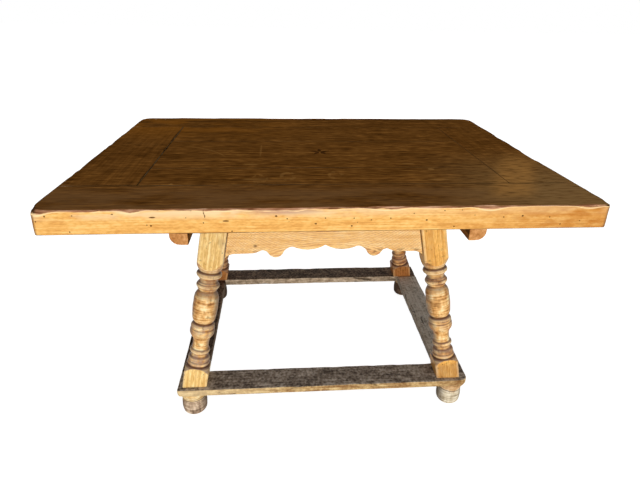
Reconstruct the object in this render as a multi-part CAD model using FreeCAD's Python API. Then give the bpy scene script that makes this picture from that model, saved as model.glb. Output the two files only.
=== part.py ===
import FreeCAD, Part
import math
import os

from FreeCAD import Vector

# Tavern table in millimetres: X runs along it, the front faces -Y
# The origin is on the floor under the middle of the top

# Whole table
table_height = 770.0
top_length = 1390.0
top_depth = 1020.0
top_thickness = 62.0
left_end_skew = 10.0
cut_overrun = 3.0

# Boards of the top
end_board_width = 190.0
border_board_width = 168.0
panel_front_board_width = 150.0
panel_back_board_width = 224.0
board_gap = 1.4
front_corner_radius = 14.0
back_corner_radius = 38.0
top_arris_radius = 6.0
lower_arris_radius = 3.0

# Tongues and tenons that hold the boards of the top together
tongue_length = 14.0
tongue_thickness = 16.0
end_tenon_length = 70.0
end_tenon_width = 110.0
end_tenon_thickness = 20.0
joint_clearance = 0.3
frame_peg_diameter = 12.0
frame_peg_length = 46.0
frame_peg_spacing = 60.0
peg_clearance = 0.15

# Star inlay: separate dark kites round a centre
star_points = 5
star_centre_y = -18.0
star_hub_radius = 3.0
star_point_length = 32.0
star_point_width = 13.0
star_widest_share = 0.42
inlay_depth = 4.0
inlay_clearance = 0.2

# Cleats under the top, each held by a sliding dovetail key
cleat_end_inset = 50.0
cleat_width = 46.0
cleat_drop = 55.0
cleat_round_radius = 26.0
cleat_gap_to_legs = 7.0
key_depth = 18.0
key_neck_width = 28.0
key_flare_width = 36.0

# Wooden pins that lock the cleats, and so the top, to the legs
top_pin_diameter = 15.0
top_pin_head_diameter = 22.0
top_pin_head_length = 12.0
top_pin_bite = 24.0
top_pin_offset = 21.0

# Legs: square blocks at both ends with turning between, splayed both ways
leg_section = 78.0
leg_end_inset = 386.5
leg_side_inset = 262.0
leg_end_splay = 104.5
leg_side_splay = 84.0
upper_block_length = 184.0
upper_shoulder_length = 40.0
lower_block_length = 38.0
lower_shoulder_length = 22.0
leg_pin_diameter = 26.0
leg_pin_length = 47.0

# Where each rounded shoulder bends: shares of its length and of its drop from block corner to turning
upper_shoulder_shares = (0.50, 0.46)
lower_shoulder_shares = (0.64, 0.38)

# Turning from top to bottom: shares of the turned length and of half the leg section
# A row of two is a straight run to a point, a row of four an arc through a middle point to an end point
turning_start_share = 0.846
turning_shares = [
    (0.012, 0.800),
    (0.020, 0.900),
    (0.042, 0.985, 0.064, 0.900),
    (0.068, 0.800),
    (0.079, 0.800),
    (0.084, 0.740),
    (0.101, 0.692, 0.118, 0.740),
    (0.122, 0.795),
    (0.131, 0.795),
    (0.136, 0.850),
    (0.153, 0.905, 0.170, 0.850),
    (0.174, 0.780),
    (0.190, 0.780),
    (0.195, 0.725),
    (0.2055, 0.700, 0.216, 0.738),
    (0.253, 0.905, 0.308, 0.960),
    (0.410, 0.980, 0.494, 0.915),
    (0.519, 0.838, 0.533, 0.735),
    (0.545, 0.735),
    (0.551, 0.835),
    (0.574, 0.940, 0.596, 0.930),
    (0.601, 0.885),
    (0.606, 0.950),
    (0.654, 0.955, 0.690, 0.800),
    (0.696, 0.745),
    (0.706, 0.745),
    (0.712, 0.690),
    (0.768, 0.641, 0.8205, 0.685),
    (0.826, 0.745),
    (0.8445, 0.805, 0.863, 0.745),
    (0.868, 0.695),
    (0.887, 0.672, 0.906, 0.725),
    (0.911, 0.800),
    (0.931, 0.868, 0.950, 0.850),
    (0.955, 0.805),
    (0.960, 0.865),
    (0.977, 0.905, 0.994, 0.865),
    (1.0, 0.846),
]

# Aprons: leaning boards with a scalloped lower edge, tenoned and pegged into the legs
apron_thickness = 28.0
apron_reveal = 5.0
apron_height = 140.0
scallop_drop = 42.0
apron_tenon_length = 48.0
apron_tenon_thickness = 12.0
apron_tenon_top_drop = 14.0
apron_tenon_height = 104.0
apron_peg_diameter = 10.0
apron_peg_length = 46.0
apron_peg_drops = (40.0, 86.0)

# Lower edge from the middle to the leg: shares of half the clear length and of the scallop drop
# A row of two is a straight run to a point, a row of four an arc through a middle point to an end point
scallop_shares = [
    (0.165, 0.34, 0.330, 0.09),
    (0.375, 0.18, 0.420, 0.50),
    (0.498, 0.86, 0.570, 0.54),
    (0.600, 0.38, 0.640, 0.33),
    (0.675, 0.46, 0.735, 0.53),
    (0.895, 0.56),
    (0.965, 0.69, 1.0, 1.0),
]

# Stretcher frame of flat boards, half-lapped at the corners and set a little to the right under the legs
front_stretcher_width = 92.0
side_stretcher_width = 86.0
stretcher_thickness = 27.0
stretcher_side_reveal = 15.0
stretcher_end_reveal = 19.0
stretcher_frame_shift = 5.0
stretcher_arris_radius = 3.0
stretcher_lower_radius = 10.0

# Turned feet under the corners of the stretcher frame
foot_height = 85.0
foot_width = 92.0

# Foot from top to bottom: shares of its height and of half its width, in rows as for the legs
foot_start_share = 1.0
foot_shares = [
    (0.055, 1.0),
    (0.130, 0.900, 0.290, 0.845),
    (0.325, 0.770, 0.360, 0.815),
    (0.620, 0.865, 0.860, 0.835),
    (0.950, 0.760, 1.0, 0.620),
]

# Levels and lines that follow from the sizes above
underside = table_height - top_thickness
stretcher_top = foot_height + stretcher_thickness
leg_height = underside - stretcher_top
leg_half = leg_section / 2
half_length = (top_length - left_end_skew) / 2
half_depth = top_depth / 2
panel_half_x = half_length - end_board_width
panel_half_y = half_depth - border_board_width
board_middle = underside + top_thickness / 2
whole_thickness = (underside - cut_overrun, table_height + cut_overrun)
stretcher_half_x = half_length - leg_end_inset + leg_end_splay + leg_half + stretcher_end_reveal
stretcher_half_y = half_depth - leg_side_inset + leg_side_splay + leg_half + stretcher_side_reveal

# Pieces are made about the middle of the legs, then moved to the middle of the top, whose left end is longer
to_middle = Vector(left_end_skew / 2, 0, 0)


def box(x_range, y_range, z_range):
    """Box between two limits along each axis."""
    low = Vector(x_range[0], y_range[0], z_range[0])
    return Part.makeBox(x_range[1] - x_range[0], y_range[1] - y_range[0], z_range[1] - z_range[0], low)


def around(centre, width):
    """Limits of a width about its centre."""
    return (centre - width / 2, centre + width / 2)


def prism(points, path):
    """Solid swept along a straight path from a closed polygon."""
    return Part.Face(Part.makePolygon(points + points[:1])).extrude(path)


def cylinder(radius, start, path):
    """Round bar from a start point along a path."""
    return Part.makeCylinder(radius, path.Length, start, path)


def outline(start, rows, place):
    """Edges through rows of shares: straight runs and three-point arcs, each point put in space by place."""
    edges = []
    here = place(*start)
    for row in rows:
        end = place(*row[-2:])
        if len(row) == 2:
            edges.append(Part.LineSegment(here, end).toShape())
        else:
            edges.append(Part.Arc(here, place(*row[:2]), end).toShape())
        here = end
    return edges


def turned(edges, top, bottom):
    """Solid turned about Z from profile edges that run from the top level to the bottom level."""
    first = edges[0].Vertexes[0].Point
    last = edges[-1].Vertexes[-1].Point
    closing = Part.makePolygon([last, Vector(0, 0, bottom), Vector(0, 0, top), first]).Edges
    return Part.Face(Part.Wire(edges + closing)).revolve(Vector(0, 0, 0), Vector(0, 0, 1), 360)


def mirrored(shape, flip_x, flip_y):
    """Copy of a shape from the front right quarter, turned over to another quarter."""
    if flip_x:
        shape = shape.mirror(Vector(0, 0, 0), Vector(1, 0, 0))
    if flip_y:
        shape = shape.mirror(Vector(0, 0, 0), Vector(0, 1, 0))
    return shape


def write(name, solids):
    """Save one solid, or a group of like solids, as a node in its place under the middle of the top."""
    shape = solids[0] if len(solids) == 1 else Part.makeCompound(solids)
    shape.translated(to_middle).exportStep(os.path.join("parts", name + ".step"))


# Quarters of the table: name, mirrored in X, mirrored in Y
quarters = [
    ("front_right", False, False),
    ("front_left", True, False),
    ("back_right", False, True),
    ("back_left", True, True),
]


# Splay of the legs


def leg_x(drop):
    """Distance of a leg's centre from the middle plane of X, at a drop below the top."""
    return half_length - leg_end_inset + leg_end_splay * drop / leg_height


def leg_y(drop):
    """Distance of a leg's centre from the middle plane of Y, at a drop below the top."""
    return half_depth - leg_side_inset + leg_side_splay * drop / leg_height


def leg_centre(drop):
    """Centre of the front right leg at a drop below the top."""
    return Vector(leg_x(drop), -leg_y(drop), underside - drop)


def front_face_point(along, drop, inset):
    """Point at an inset behind the leaning plane of the front legs' outer faces."""
    return Vector(along, inset - leg_y(drop) - leg_half, underside - drop)


def right_face_point(along, drop, inset):
    """Point at an inset behind the leaning plane of the right legs' outer faces."""
    return Vector(leg_x(drop) + leg_half - inset, along, underside - drop)


def front_clear_half(drop):
    """Half the clear length between the front legs at a drop below the top."""
    return leg_x(drop) - leg_half


def side_clear_half(drop):
    """Half the clear length between the right legs at a drop below the top."""
    return leg_y(drop) - leg_half


# Aprons


def apron_board(point, clear_half):
    """Leaning board between two legs with its scalloped lower edge, without tenons."""

    def lower_edge_point(side):
        def place(along_share, drop_share):
            drop = apron_height + scallop_drop * drop_share
            return point(side * along_share * clear_half(drop), drop, apron_reveal)
        return place

    right = outline((0, 0), scallop_shares, lower_edge_point(1))
    left = outline((0, 0), scallop_shares, lower_edge_point(-1))
    corners = [
        right[-1].Vertexes[-1].Point,
        point(clear_half(0), 0, apron_reveal),
        point(-clear_half(0), 0, apron_reveal),
        left[-1].Vertexes[-1].Point,
    ]
    upper = Part.makePolygon(corners).Edges
    face = Part.Face(Part.Wire(Part.__sortEdges__(right + left + upper)))
    return face.extrude(point(0, 0, apron_reveal + apron_thickness) - point(0, 0, apron_reveal))


def apron_tenon(point, clear_half, side, grow):
    """Tenon at one end of an apron, or its mortise when grown by a clearance."""
    high = apron_tenon_top_drop - grow
    low = apron_tenon_top_drop + apron_tenon_height + grow
    near = apron_reveal + (apron_thickness - apron_tenon_thickness) / 2 - grow
    reach = apron_tenon_length + grow
    corners = [
        point(side * clear_half(high), high, near),
        point(side * (clear_half(high) + reach), high, near),
        point(side * (clear_half(low) + reach), low, near),
        point(side * clear_half(low), low, near),
    ]
    depth = apron_tenon_thickness + 2 * grow
    return prism(corners, point(0, 0, depth) - point(0, 0, 0))


def apron_peg(point, clear_half, side, drop, grow):
    """Round peg through a leg and an apron's tenon, or its hole when grown by a clearance."""
    along = side * (clear_half(drop) + apron_tenon_length / 2)
    start = point(along, drop, -cut_overrun)
    end = point(along, drop, apron_peg_length + grow)
    return cylinder(apron_peg_diameter / 2 + grow, start, end - start)


def apron_joint_cuts(point, clear_half, side):
    """Mortise and peg holes for one end of an apron."""
    holes = [apron_peg(point, clear_half, side, drop, peg_clearance) for drop in apron_peg_drops]
    return [apron_tenon(point, clear_half, side, joint_clearance)] + holes


def apron(point, clear_half):
    """Apron with both tenons, bored for its pegs."""
    shape = apron_board(point, clear_half)
    for side in (-1, 1):
        shape = shape.fuse(apron_tenon(point, clear_half, side, 0))
    for side in (-1, 1):
        for drop in apron_peg_drops:
            shape = shape.cut(apron_peg(point, clear_half, side, drop, peg_clearance))
    return shape


# Cleats and the pins that lock them

cleat_inner_x = leg_x(cleat_drop) + leg_half + cleat_gap_to_legs
cleat_outer_x = cleat_inner_x + cleat_width
cleat_middle_x = cleat_inner_x + cleat_width / 2
cleat_half_length = half_depth - cleat_end_inset
top_pin_drop = cleat_drop / 2
top_pin_y = -leg_y(top_pin_drop) - top_pin_offset
top_pin_end_x = leg_x(top_pin_drop) + leg_half - top_pin_bite


def dovetail_key(y_range, grow):
    """Dovetail key of the right cleat, or its groove when grown by a clearance."""
    neck = key_neck_width / 2 + grow
    flare = key_flare_width / 2 + grow
    level = underside + key_depth + grow
    points = [
        Vector(cleat_middle_x - neck, y_range[0], underside),
        Vector(cleat_middle_x - flare, y_range[0], level),
        Vector(cleat_middle_x + flare, y_range[0], level),
        Vector(cleat_middle_x + neck, y_range[0], underside),
    ]
    return prism(points, Vector(0, y_range[1] - y_range[0], 0))


def top_pin(grow):
    """Headed pin from outside the right cleat into the front right leg, or its hole when grown."""
    start = Vector(cleat_outer_x, top_pin_y, underside - top_pin_drop)
    end = Vector(top_pin_end_x - grow, top_pin_y, underside - top_pin_drop)
    return cylinder(top_pin_diameter / 2 + grow, start, end - start)


def headed_top_pin():
    """Pin with the head that it is pulled out by."""
    start = Vector(cleat_outer_x, top_pin_y, underside - top_pin_drop)
    head = cylinder(top_pin_head_diameter / 2, start, Vector(top_pin_head_length, 0, 0))
    return top_pin(0).fuse(head).removeSplitter()


def cleat():
    """Right cleat with its dovetail key and a rounded outer lower edge."""
    lowest = underside - cleat_drop
    bend = cleat_round_radius * (1 - math.sqrt(0.5))
    start_y = -cleat_half_length
    round_start = Vector(cleat_outer_x, start_y, lowest + cleat_round_radius)
    round_middle = Vector(cleat_outer_x - bend, start_y, lowest + bend)
    round_end = Vector(cleat_outer_x - cleat_round_radius, start_y, lowest)
    flat = Part.makePolygon([
        round_end,
        Vector(cleat_inner_x, start_y, lowest),
        Vector(cleat_inner_x, start_y, underside),
        Vector(cleat_outer_x, start_y, underside),
        round_start,
    ]).Edges
    corner = Part.Arc(round_start, round_middle, round_end).toShape()
    body = Part.Face(Part.Wire(flat + [corner])).extrude(Vector(0, 2 * cleat_half_length, 0))
    body = body.fuse(dovetail_key((-cleat_half_length, cleat_half_length), 0))
    hole = top_pin(peg_clearance)
    return body.cut([hole, mirrored(hole, False, True)])


# Legs


def leg_prism(top_drop, bottom_drop):
    """Leaning square bar of the front right leg between two drops below the top."""
    centre = leg_centre(top_drop)
    corners = [
        centre + Vector(-leg_half, -leg_half, 0),
        centre + Vector(leg_half, -leg_half, 0),
        centre + Vector(leg_half, leg_half, 0),
        centre + Vector(-leg_half, leg_half, 0),
    ]
    return prism(corners, leg_centre(bottom_drop) - centre)


def on_leg_axis(shape):
    """Shape turned about Z, its zero level at the leg's top, set on the front right leg's axis."""
    axis = leg_centre(leg_height) - leg_centre(0)
    return shape.copy().transformed(
        FreeCAD.Placement(leg_centre(0), FreeCAD.Rotation(Vector(0, 0, -1), axis)).toMatrix()
    )


def leg():
    """Front right leg with its blocks, turning, mortises, peg holes and lower pin."""
    per_drop = (leg_centre(leg_height) - leg_centre(0)).Length / leg_height
    corner = leg_section / math.sqrt(2)
    neck = leg_half * turning_start_share
    upper_end = upper_block_length + upper_shoulder_length
    lower_start = leg_height - lower_block_length - lower_shoulder_length
    turned_length = lower_start - upper_end

    def at(radius, drop):
        return Vector(radius, 0, -drop * per_drop)

    def place(length_share, radius_share):
        return at(leg_half * radius_share, upper_end + turned_length * length_share)

    def shoulder(block_drop, turning_drop, bend_shares):
        middle_drop = block_drop + (turning_drop - block_drop) * bend_shares[0]
        middle_radius = corner + (neck - corner) * bend_shares[1]
        return at(corner, block_drop), at(middle_radius, middle_drop), at(neck, turning_drop)

    wide, bend, narrow = shoulder(upper_block_length, upper_end, upper_shoulder_shares)
    beyond = at(corner, -leg_section)
    upper_profile = [Part.LineSegment(beyond, wide).toShape(), Part.Arc(wide, bend, narrow).toShape()]
    upper_limit = on_leg_axis(turned(upper_profile, beyond.z, narrow.z))
    upper = leg_prism(0, upper_end + leg_section).common(upper_limit)

    wide, bend, narrow = shoulder(leg_height - lower_block_length, lower_start, lower_shoulder_shares)
    beyond = at(corner, leg_height + leg_section)
    lower_profile = [Part.Arc(narrow, bend, wide).toShape(), Part.LineSegment(wide, beyond).toShape()]
    lower_limit = on_leg_axis(turned(lower_profile, narrow.z, beyond.z))
    lower = leg_prism(lower_start - leg_section, leg_height).common(lower_limit)

    profile = outline((0, turning_start_share), turning_shares, place)
    middle = on_leg_axis(turned(profile, place(0, 0).z, place(1, 0).z))
    pin = cylinder(leg_pin_diameter / 2, leg_centre(leg_height), Vector(0, 0, -leg_pin_length))
    shape = upper.fuse([middle, lower, pin]).removeSplitter()
    cuts = apron_joint_cuts(front_face_point, front_clear_half, 1)
    cuts += apron_joint_cuts(right_face_point, side_clear_half, -1)
    return shape.cut(cuts + [top_pin(peg_clearance)])


def apron_pegs():
    """Pegs of the front right leg, cut flush with its outer faces."""
    block = leg_prism(0, upper_block_length)
    pegs = []
    for drop in apron_peg_drops:
        pegs.append(apron_peg(front_face_point, front_clear_half, 1, drop, 0).common(block))
        pegs.append(apron_peg(right_face_point, side_clear_half, -1, drop, 0).common(block))
    return pegs


# Boards of the top


def top_blank():
    """Whole top as one slab, its left end out of square, with rounded corners and softened edges."""
    corners = [
        (half_length, -half_depth, front_corner_radius),
        (half_length, half_depth, back_corner_radius),
        (-half_length, half_depth, back_corner_radius),
        (-half_length - left_end_skew, -half_depth, front_corner_radius),
    ]
    slab = prism([Vector(x, y, underside) for x, y, _ in corners], Vector(0, 0, top_thickness))
    for x, y, radius in corners:
        upright = [e for e in slab.Edges if all(v.X == x and v.Y == y for v in e.Vertexes)]
        slab = slab.makeFillet(radius, upright)
    upper = [e for e in slab.Edges if e.BoundBox.ZMin > board_middle]
    slab = slab.makeFillet(top_arris_radius, upper)
    lower = [e for e in slab.Edges if e.BoundBox.ZMax < board_middle]
    return slab.makeFillet(lower_arris_radius, lower)


def tongue(x_range, y_range, grow):
    """Flat tongue at mid thickness, or its groove when grown by a clearance."""
    return box(x_range, y_range, around(board_middle, tongue_thickness + 2 * grow))


def end_tenon(grow):
    """Tenon of the right end board into the front border board, or its mortise when grown."""
    reach = end_tenon_length + board_gap / 2 + grow
    x_range = around(panel_half_x + end_board_width / 2, end_tenon_width + 2 * grow)
    y_range = (-panel_half_y - reach, -panel_half_y + board_gap / 2)
    return box(x_range, y_range, around(board_middle, end_tenon_thickness + 2 * grow))


def frame_peg(side, grow):
    """Peg from below through the front border board and the right end board's tenon, or its hole."""
    x = panel_half_x + end_board_width / 2 + side * frame_peg_spacing / 2
    start = Vector(x, -panel_half_y - end_tenon_length / 2, underside)
    return cylinder(frame_peg_diameter / 2 + grow, start, Vector(0, 0, frame_peg_length + grow))


def frame_peg_holes():
    """Holes for the two pegs of the front right corner of the top."""
    return [frame_peg(side, peg_clearance) for side in (-1, 1)]


def cleat_grooves():
    """Dovetail grooves for both cleats, open at the back edge where the cleats are driven in."""
    y_range = (-cleat_half_length - joint_clearance, half_depth + cut_overrun)
    groove = dovetail_key(y_range, joint_clearance)
    below = box(
        around(cleat_middle_x, key_neck_width + 2 * joint_clearance),
        y_range,
        (underside - cut_overrun, underside),
    )
    groove = groove.fuse(below)
    return [groove, mirrored(groove, True, False)]


def border_board(blank):
    """Front border board, running the full length of the top."""
    inner_y = -panel_half_y - board_gap / 2
    beyond_ends = half_length + left_end_skew + cut_overrun
    limit = box((-beyond_ends, beyond_ends), (-half_depth - cut_overrun, inner_y), whole_thickness)
    groove_depth = tongue_length + joint_clearance
    groove = tongue(
        (-panel_half_x, panel_half_x), (inner_y - groove_depth, inner_y + cut_overrun), joint_clearance
    )
    mortise = [end_tenon(joint_clearance)] + frame_peg_holes()
    cuts = [groove] + mortise + [mirrored(cut, True, False) for cut in mortise]
    return blank.common(limit).cut(cuts)


def end_board(blank):
    """Right end board, tenoned at both ends into the border boards."""
    inner_x = panel_half_x + board_gap / 2
    inner_y = panel_half_y - board_gap / 2
    beyond_end = half_length + left_end_skew + cut_overrun
    limit = box((inner_x, beyond_end), (-inner_y, inner_y), whole_thickness)
    groove_reach = (inner_x - cut_overrun, inner_x + tongue_length + joint_clearance)
    groove = tongue(groove_reach, (-half_depth, half_depth), joint_clearance)
    tenon = end_tenon(0)
    shape = blank.common(limit).cut(groove).fuse([tenon, mirrored(tenon, False, True)])
    holes = frame_peg_holes()
    return shape.cut(holes + [mirrored(hole, False, True) for hole in holes])


def panel_board(y_front, y_back, back_tongue):
    """Board of the panel with a tongue along its front edge and a groove or a tongue along its back edge."""
    half_x = panel_half_x - board_gap / 2
    front = y_front + board_gap / 2
    back = y_back - board_gap / 2
    reach = board_gap + tongue_length
    groove_depth = tongue_length + joint_clearance
    shape = box((-half_x, half_x), (front, back), (underside, table_height))
    tongues = [
        tongue((-half_x - reach, half_x + reach), (front, back), 0),
        tongue((-half_x, half_x), (front - reach, front), 0),
    ]
    if back_tongue:
        tongues.append(tongue((-half_x, half_x), (back, back + reach), 0))
        return shape.fuse(tongues)
    across = half_x + reach + cut_overrun
    groove = tongue((-across, across), (back - groove_depth, back + cut_overrun), joint_clearance)
    return shape.fuse(tongues).cut(groove)


def star_kite(index, grow):
    """One kite of the star, or its pocket when grown by a clearance."""
    angle = math.pi / 2 + index * 2 * math.pi / star_points
    along = Vector(math.cos(angle), math.sin(angle), 0)
    across = Vector(-along.y, along.x, 0)
    floor = Vector(0, star_centre_y, table_height - inlay_depth)
    widest = star_hub_radius + star_point_length * star_widest_share
    half_width = star_point_width / 2 + grow
    points = [
        floor + along * (star_hub_radius - grow),
        floor + along * widest + across * half_width,
        floor + along * (star_hub_radius + star_point_length + grow),
        floor + along * widest - across * half_width,
    ]
    return prism(points, Vector(0, 0, inlay_depth + (cut_overrun if grow else 0)))


# Stretchers and feet

corner_pin_centre = leg_centre(leg_height)


def corner_pin_hole(depth):
    """Hole for the pin of the front right leg, from the stretchers' top downwards."""
    return cylinder(leg_pin_diameter / 2 + joint_clearance, corner_pin_centre, Vector(0, 0, -depth))


def stretcher(half_run, half_offset, width, lap_length, lap_range):
    """Board along X with its outer edge at -Y, its arrises softened, lapped at both ends."""
    y_range = (-half_offset, -half_offset + width)
    board = box((-half_run, half_run), y_range, (foot_height, stretcher_top))
    middle = foot_height + stretcher_thickness / 2
    along = [e for e in board.Edges if e.BoundBox.XLength > half_run]
    upper = [e for e in along if e.BoundBox.ZMin > middle]
    lower = [e for e in along if e.BoundBox.ZMax < middle]
    outer_lower = [e for e in lower if e.BoundBox.YMax < -half_offset + width / 2]
    board = board.makeFillet(stretcher_arris_radius, upper)
    board = board.makeFillet(stretcher_lower_radius, outer_lower)
    y_cut = (y_range[0] - cut_overrun, y_range[1] + cut_overrun)
    lap = box((half_run - lap_length, half_run + cut_overrun), y_cut, lap_range)
    return board.cut([lap, mirrored(lap, True, False)])


def front_stretcher():
    """Front stretcher, on top at the laps, bored for the front legs' pins."""
    middle = foot_height + stretcher_thickness / 2
    hole = corner_pin_hole(stretcher_thickness)
    lap_range = (foot_height - cut_overrun, middle)
    board = stretcher(
        stretcher_half_x, stretcher_half_y, front_stretcher_width, side_stretcher_width, lap_range
    )
    board.translate(Vector(stretcher_frame_shift, 0, 0))
    return board.cut([hole, mirrored(hole, True, False)])


def side_stretcher(frame_shift):
    """Right stretcher, underneath at the laps, moved out by a shift and bored for the right legs' pins."""
    middle = foot_height + stretcher_thickness / 2
    hole = corner_pin_hole(stretcher_thickness)
    lap_range = (middle, stretcher_top + cut_overrun)
    board = stretcher(
        stretcher_half_y, stretcher_half_x, side_stretcher_width, front_stretcher_width, lap_range
    )
    board.rotate(Vector(0, 0, 0), Vector(0, 0, 1), 90)
    board.translate(Vector(frame_shift, 0, 0))
    return board.cut([hole, mirrored(hole, False, True)])


def foot(frame_shift):
    """Front right foot, turned, under the middle of the lap, with a socket for the leg's pin."""

    def place(height_share, radius_share):
        return Vector(foot_width / 2 * radius_share, 0, foot_height * (1 - height_share))

    lap_x = stretcher_half_x - side_stretcher_width / 2 + frame_shift
    lap_y = stretcher_half_y - front_stretcher_width / 2
    shape = turned(outline((0, foot_start_share), foot_shares, place), foot_height, 0)
    shape.translate(Vector(lap_x, -lap_y, 0))
    return shape.cut(corner_pin_hole(leg_pin_length + joint_clearance))


def build():
    """Make every piece and save it as a node of its own."""
    blank = top_blank()
    grooves = cleat_grooves()
    border = border_board(blank)
    back_border = mirrored(border_board(mirrored(blank, False, True)), False, True)
    left_end = mirrored(end_board(mirrored(blank, True, False)), True, False)
    write("top_front_board", [border.cut(grooves)])
    write("top_back_board", [back_border.cut(grooves)])
    write("top_right_end_board", [end_board(blank).cut(grooves)])
    write("top_left_end_board", [left_end.cut(grooves)])

    front_seam = -panel_half_y + panel_front_board_width
    back_seam = panel_half_y - panel_back_board_width
    pockets = [star_kite(index, inlay_clearance) for index in range(star_points)]
    write("top_panel_front_board", [panel_board(-panel_half_y, front_seam, False).cut(grooves)])
    write("top_panel_middle_board", [panel_board(front_seam, back_seam, False).cut(grooves + pockets)])
    write("top_panel_back_board", [panel_board(back_seam, panel_half_y, True).cut(grooves)])
    write("star_inlay", [star_kite(index, 0) for index in range(star_points)])

    right_cleat = cleat()
    write("right_cleat", [right_cleat])
    write("left_cleat", [mirrored(right_cleat, True, False)])

    front_apron = apron(front_face_point, front_clear_half)
    right_apron = apron(right_face_point, side_clear_half)
    write("front_apron", [front_apron])
    write("back_apron", [mirrored(front_apron, False, True)])
    write("right_apron", [right_apron])
    write("left_apron", [mirrored(right_apron, True, False)])

    write("front_stretcher", [front_stretcher()])
    write("back_stretcher", [mirrored(front_stretcher(), False, True)])
    write("right_stretcher", [side_stretcher(stretcher_frame_shift)])
    write("left_stretcher", [mirrored(side_stretcher(-stretcher_frame_shift), True, False)])

    one_leg = leg()
    right_foot = foot(stretcher_frame_shift)
    left_foot = foot(-stretcher_frame_shift)
    pegs = []
    pins = []
    frame_pegs = []
    for name, flip_x, flip_y in quarters:
        write(name + "_leg", [mirrored(one_leg, flip_x, flip_y)])
        write(name + "_foot", [mirrored(left_foot if flip_x else right_foot, flip_x, flip_y)])
        pegs += [mirrored(peg, flip_x, flip_y) for peg in apron_pegs()]
        pins.append(mirrored(headed_top_pin(), flip_x, flip_y))
        frame_pegs += [mirrored(frame_peg(side, 0), flip_x, flip_y) for side in (-1, 1)]
    write("apron_pegs", pegs)
    write("top_pins", pins)
    write("top_frame_pegs", frame_pegs)


os.makedirs("parts", exist_ok=True)
build()
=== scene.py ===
import itertools
import math

import bpy
import numpy as np
from mathutils import Matrix, Vector


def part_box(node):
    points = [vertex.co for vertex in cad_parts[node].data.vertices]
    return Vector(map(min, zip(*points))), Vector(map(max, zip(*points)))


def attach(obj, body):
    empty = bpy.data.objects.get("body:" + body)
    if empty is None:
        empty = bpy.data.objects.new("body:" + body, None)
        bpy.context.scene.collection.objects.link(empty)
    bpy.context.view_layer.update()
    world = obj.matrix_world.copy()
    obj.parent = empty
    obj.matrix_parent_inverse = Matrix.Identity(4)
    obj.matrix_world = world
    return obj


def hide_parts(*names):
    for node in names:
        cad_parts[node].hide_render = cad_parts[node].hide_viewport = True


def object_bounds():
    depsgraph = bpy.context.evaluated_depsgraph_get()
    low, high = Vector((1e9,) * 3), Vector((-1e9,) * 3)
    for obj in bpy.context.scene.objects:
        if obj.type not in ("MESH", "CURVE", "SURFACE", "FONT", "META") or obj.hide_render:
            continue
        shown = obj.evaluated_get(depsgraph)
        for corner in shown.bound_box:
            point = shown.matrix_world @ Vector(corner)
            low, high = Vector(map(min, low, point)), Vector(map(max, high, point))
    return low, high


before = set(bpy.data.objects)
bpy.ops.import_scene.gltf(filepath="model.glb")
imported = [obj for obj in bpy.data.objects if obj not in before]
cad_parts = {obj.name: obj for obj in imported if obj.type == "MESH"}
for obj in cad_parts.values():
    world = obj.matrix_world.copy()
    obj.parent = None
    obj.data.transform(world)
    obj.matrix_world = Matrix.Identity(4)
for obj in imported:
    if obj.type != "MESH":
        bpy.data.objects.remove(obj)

# Worn tavern table in metres: X runs along it and the front faces -Y
# The origin is on the floor under the middle of the top

cad_low, cad_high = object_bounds()
scene = bpy.context.scene
corners = tuple(itertools.product(("front", "back"), ("left", "right")))

# Camera of the photograph
image_width = 640
focal_pixels = 485.18
sensor_width = 36.0
camera_place = Vector((-0.1199, -1.5690, 1.1956))
camera_yaw = 0.0854
camera_pitch = 0.4471
camera_roll = -0.0214

# Floor and surroundings
floor_level = -0.0003
floor_reach = 30.0
floor_grey = 0.6
floor_glow = 0.92
surroundings_light = 0.22
white = (1.0, 1.0, 1.0, 1.0)

# Lamps: name, place, target, width and height, power
lamps = (
    ("front_light", (0.1, -6.0, 0.52), (0.0, 0.0, 0.45), (4.5, 0.8), 290.0),
    ("back_light", (0.0, 6.0, 0.9), (0.0, 0.0, 0.45), (4.5, 1.4), 90.0),
    ("top_light", (0.0, -0.4, 3.0), (0.0, 0.0, 0.7), (3.0, 3.0), 34.0),
)

# Grid of the boards: even step, close lines at the arrises, share of a side that these may take
board_step = 0.009
arris_lines = (0, 0.0006, 0.0014, 0.0025, 0.0040, 0.0058, 0.0080, 0.0105, 0.0135, 0.0170, 0.0210)
arris_share = 0.4
far_away = 1.0
least_length = 1e-9

# Boards of the top: seams, worn arrises, waves of planed faces and edges, pith of their logs
# Layers of noise are pairs of size and weight here and below
seam_gap = 0.0012
wide_seam_gap = 0.0026
seam_closing = 0.0014
seam_closing_depths = (0.004, 0.016)
seam_radius = 0.0010
seam_radius_wear = 0.0014
seam_wear_size = 0.11
seam_wear_limits = (0.55, 0.9)
edge_radius = 0.0034
edge_radius_wear = 0.0050
edge_wear_layers = ((0.085, 0.65), (0.028, 0.35))
wear_limits = (0.35, 0.8)
lower_edge_radius = 0.0024
upper_edge_depth = 0.024
lower_edge_height = 0.012
edge_reach = 0.045
edge_full_reach = 0.012
edge_wave = 0.0011
end_wave_size = 0.13
side_wave_size = 0.17
face_wave = 0.0007
face_wave_size = 0.14
face_wave_reach = 0.02
board_pith_sway = 0.03
board_pith_depth = 0.06
left_end_skew = 0.010
right_end_hollow = 0.0035
corner_radii = {(-1, -1): 0.014, (1, -1): 0.009, (-1, 1): 0.038, (1, 1): 0.038}

# Scoops worn into the front arris of the top: middle in X, half length, depth
front_scoops = (
    (-0.680, 0.060, 0.0105),
    (-0.466, 0.036, 0.0085),
    (-0.300, 0.030, 0.0040),
    (-0.140, 0.110, 0.0060),
    (0.125, 0.060, 0.0075),
    (0.385, 0.055, 0.0070),
    (0.640, 0.050, 0.0085),
    (0.700, 0.035, 0.0050),
)

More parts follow.
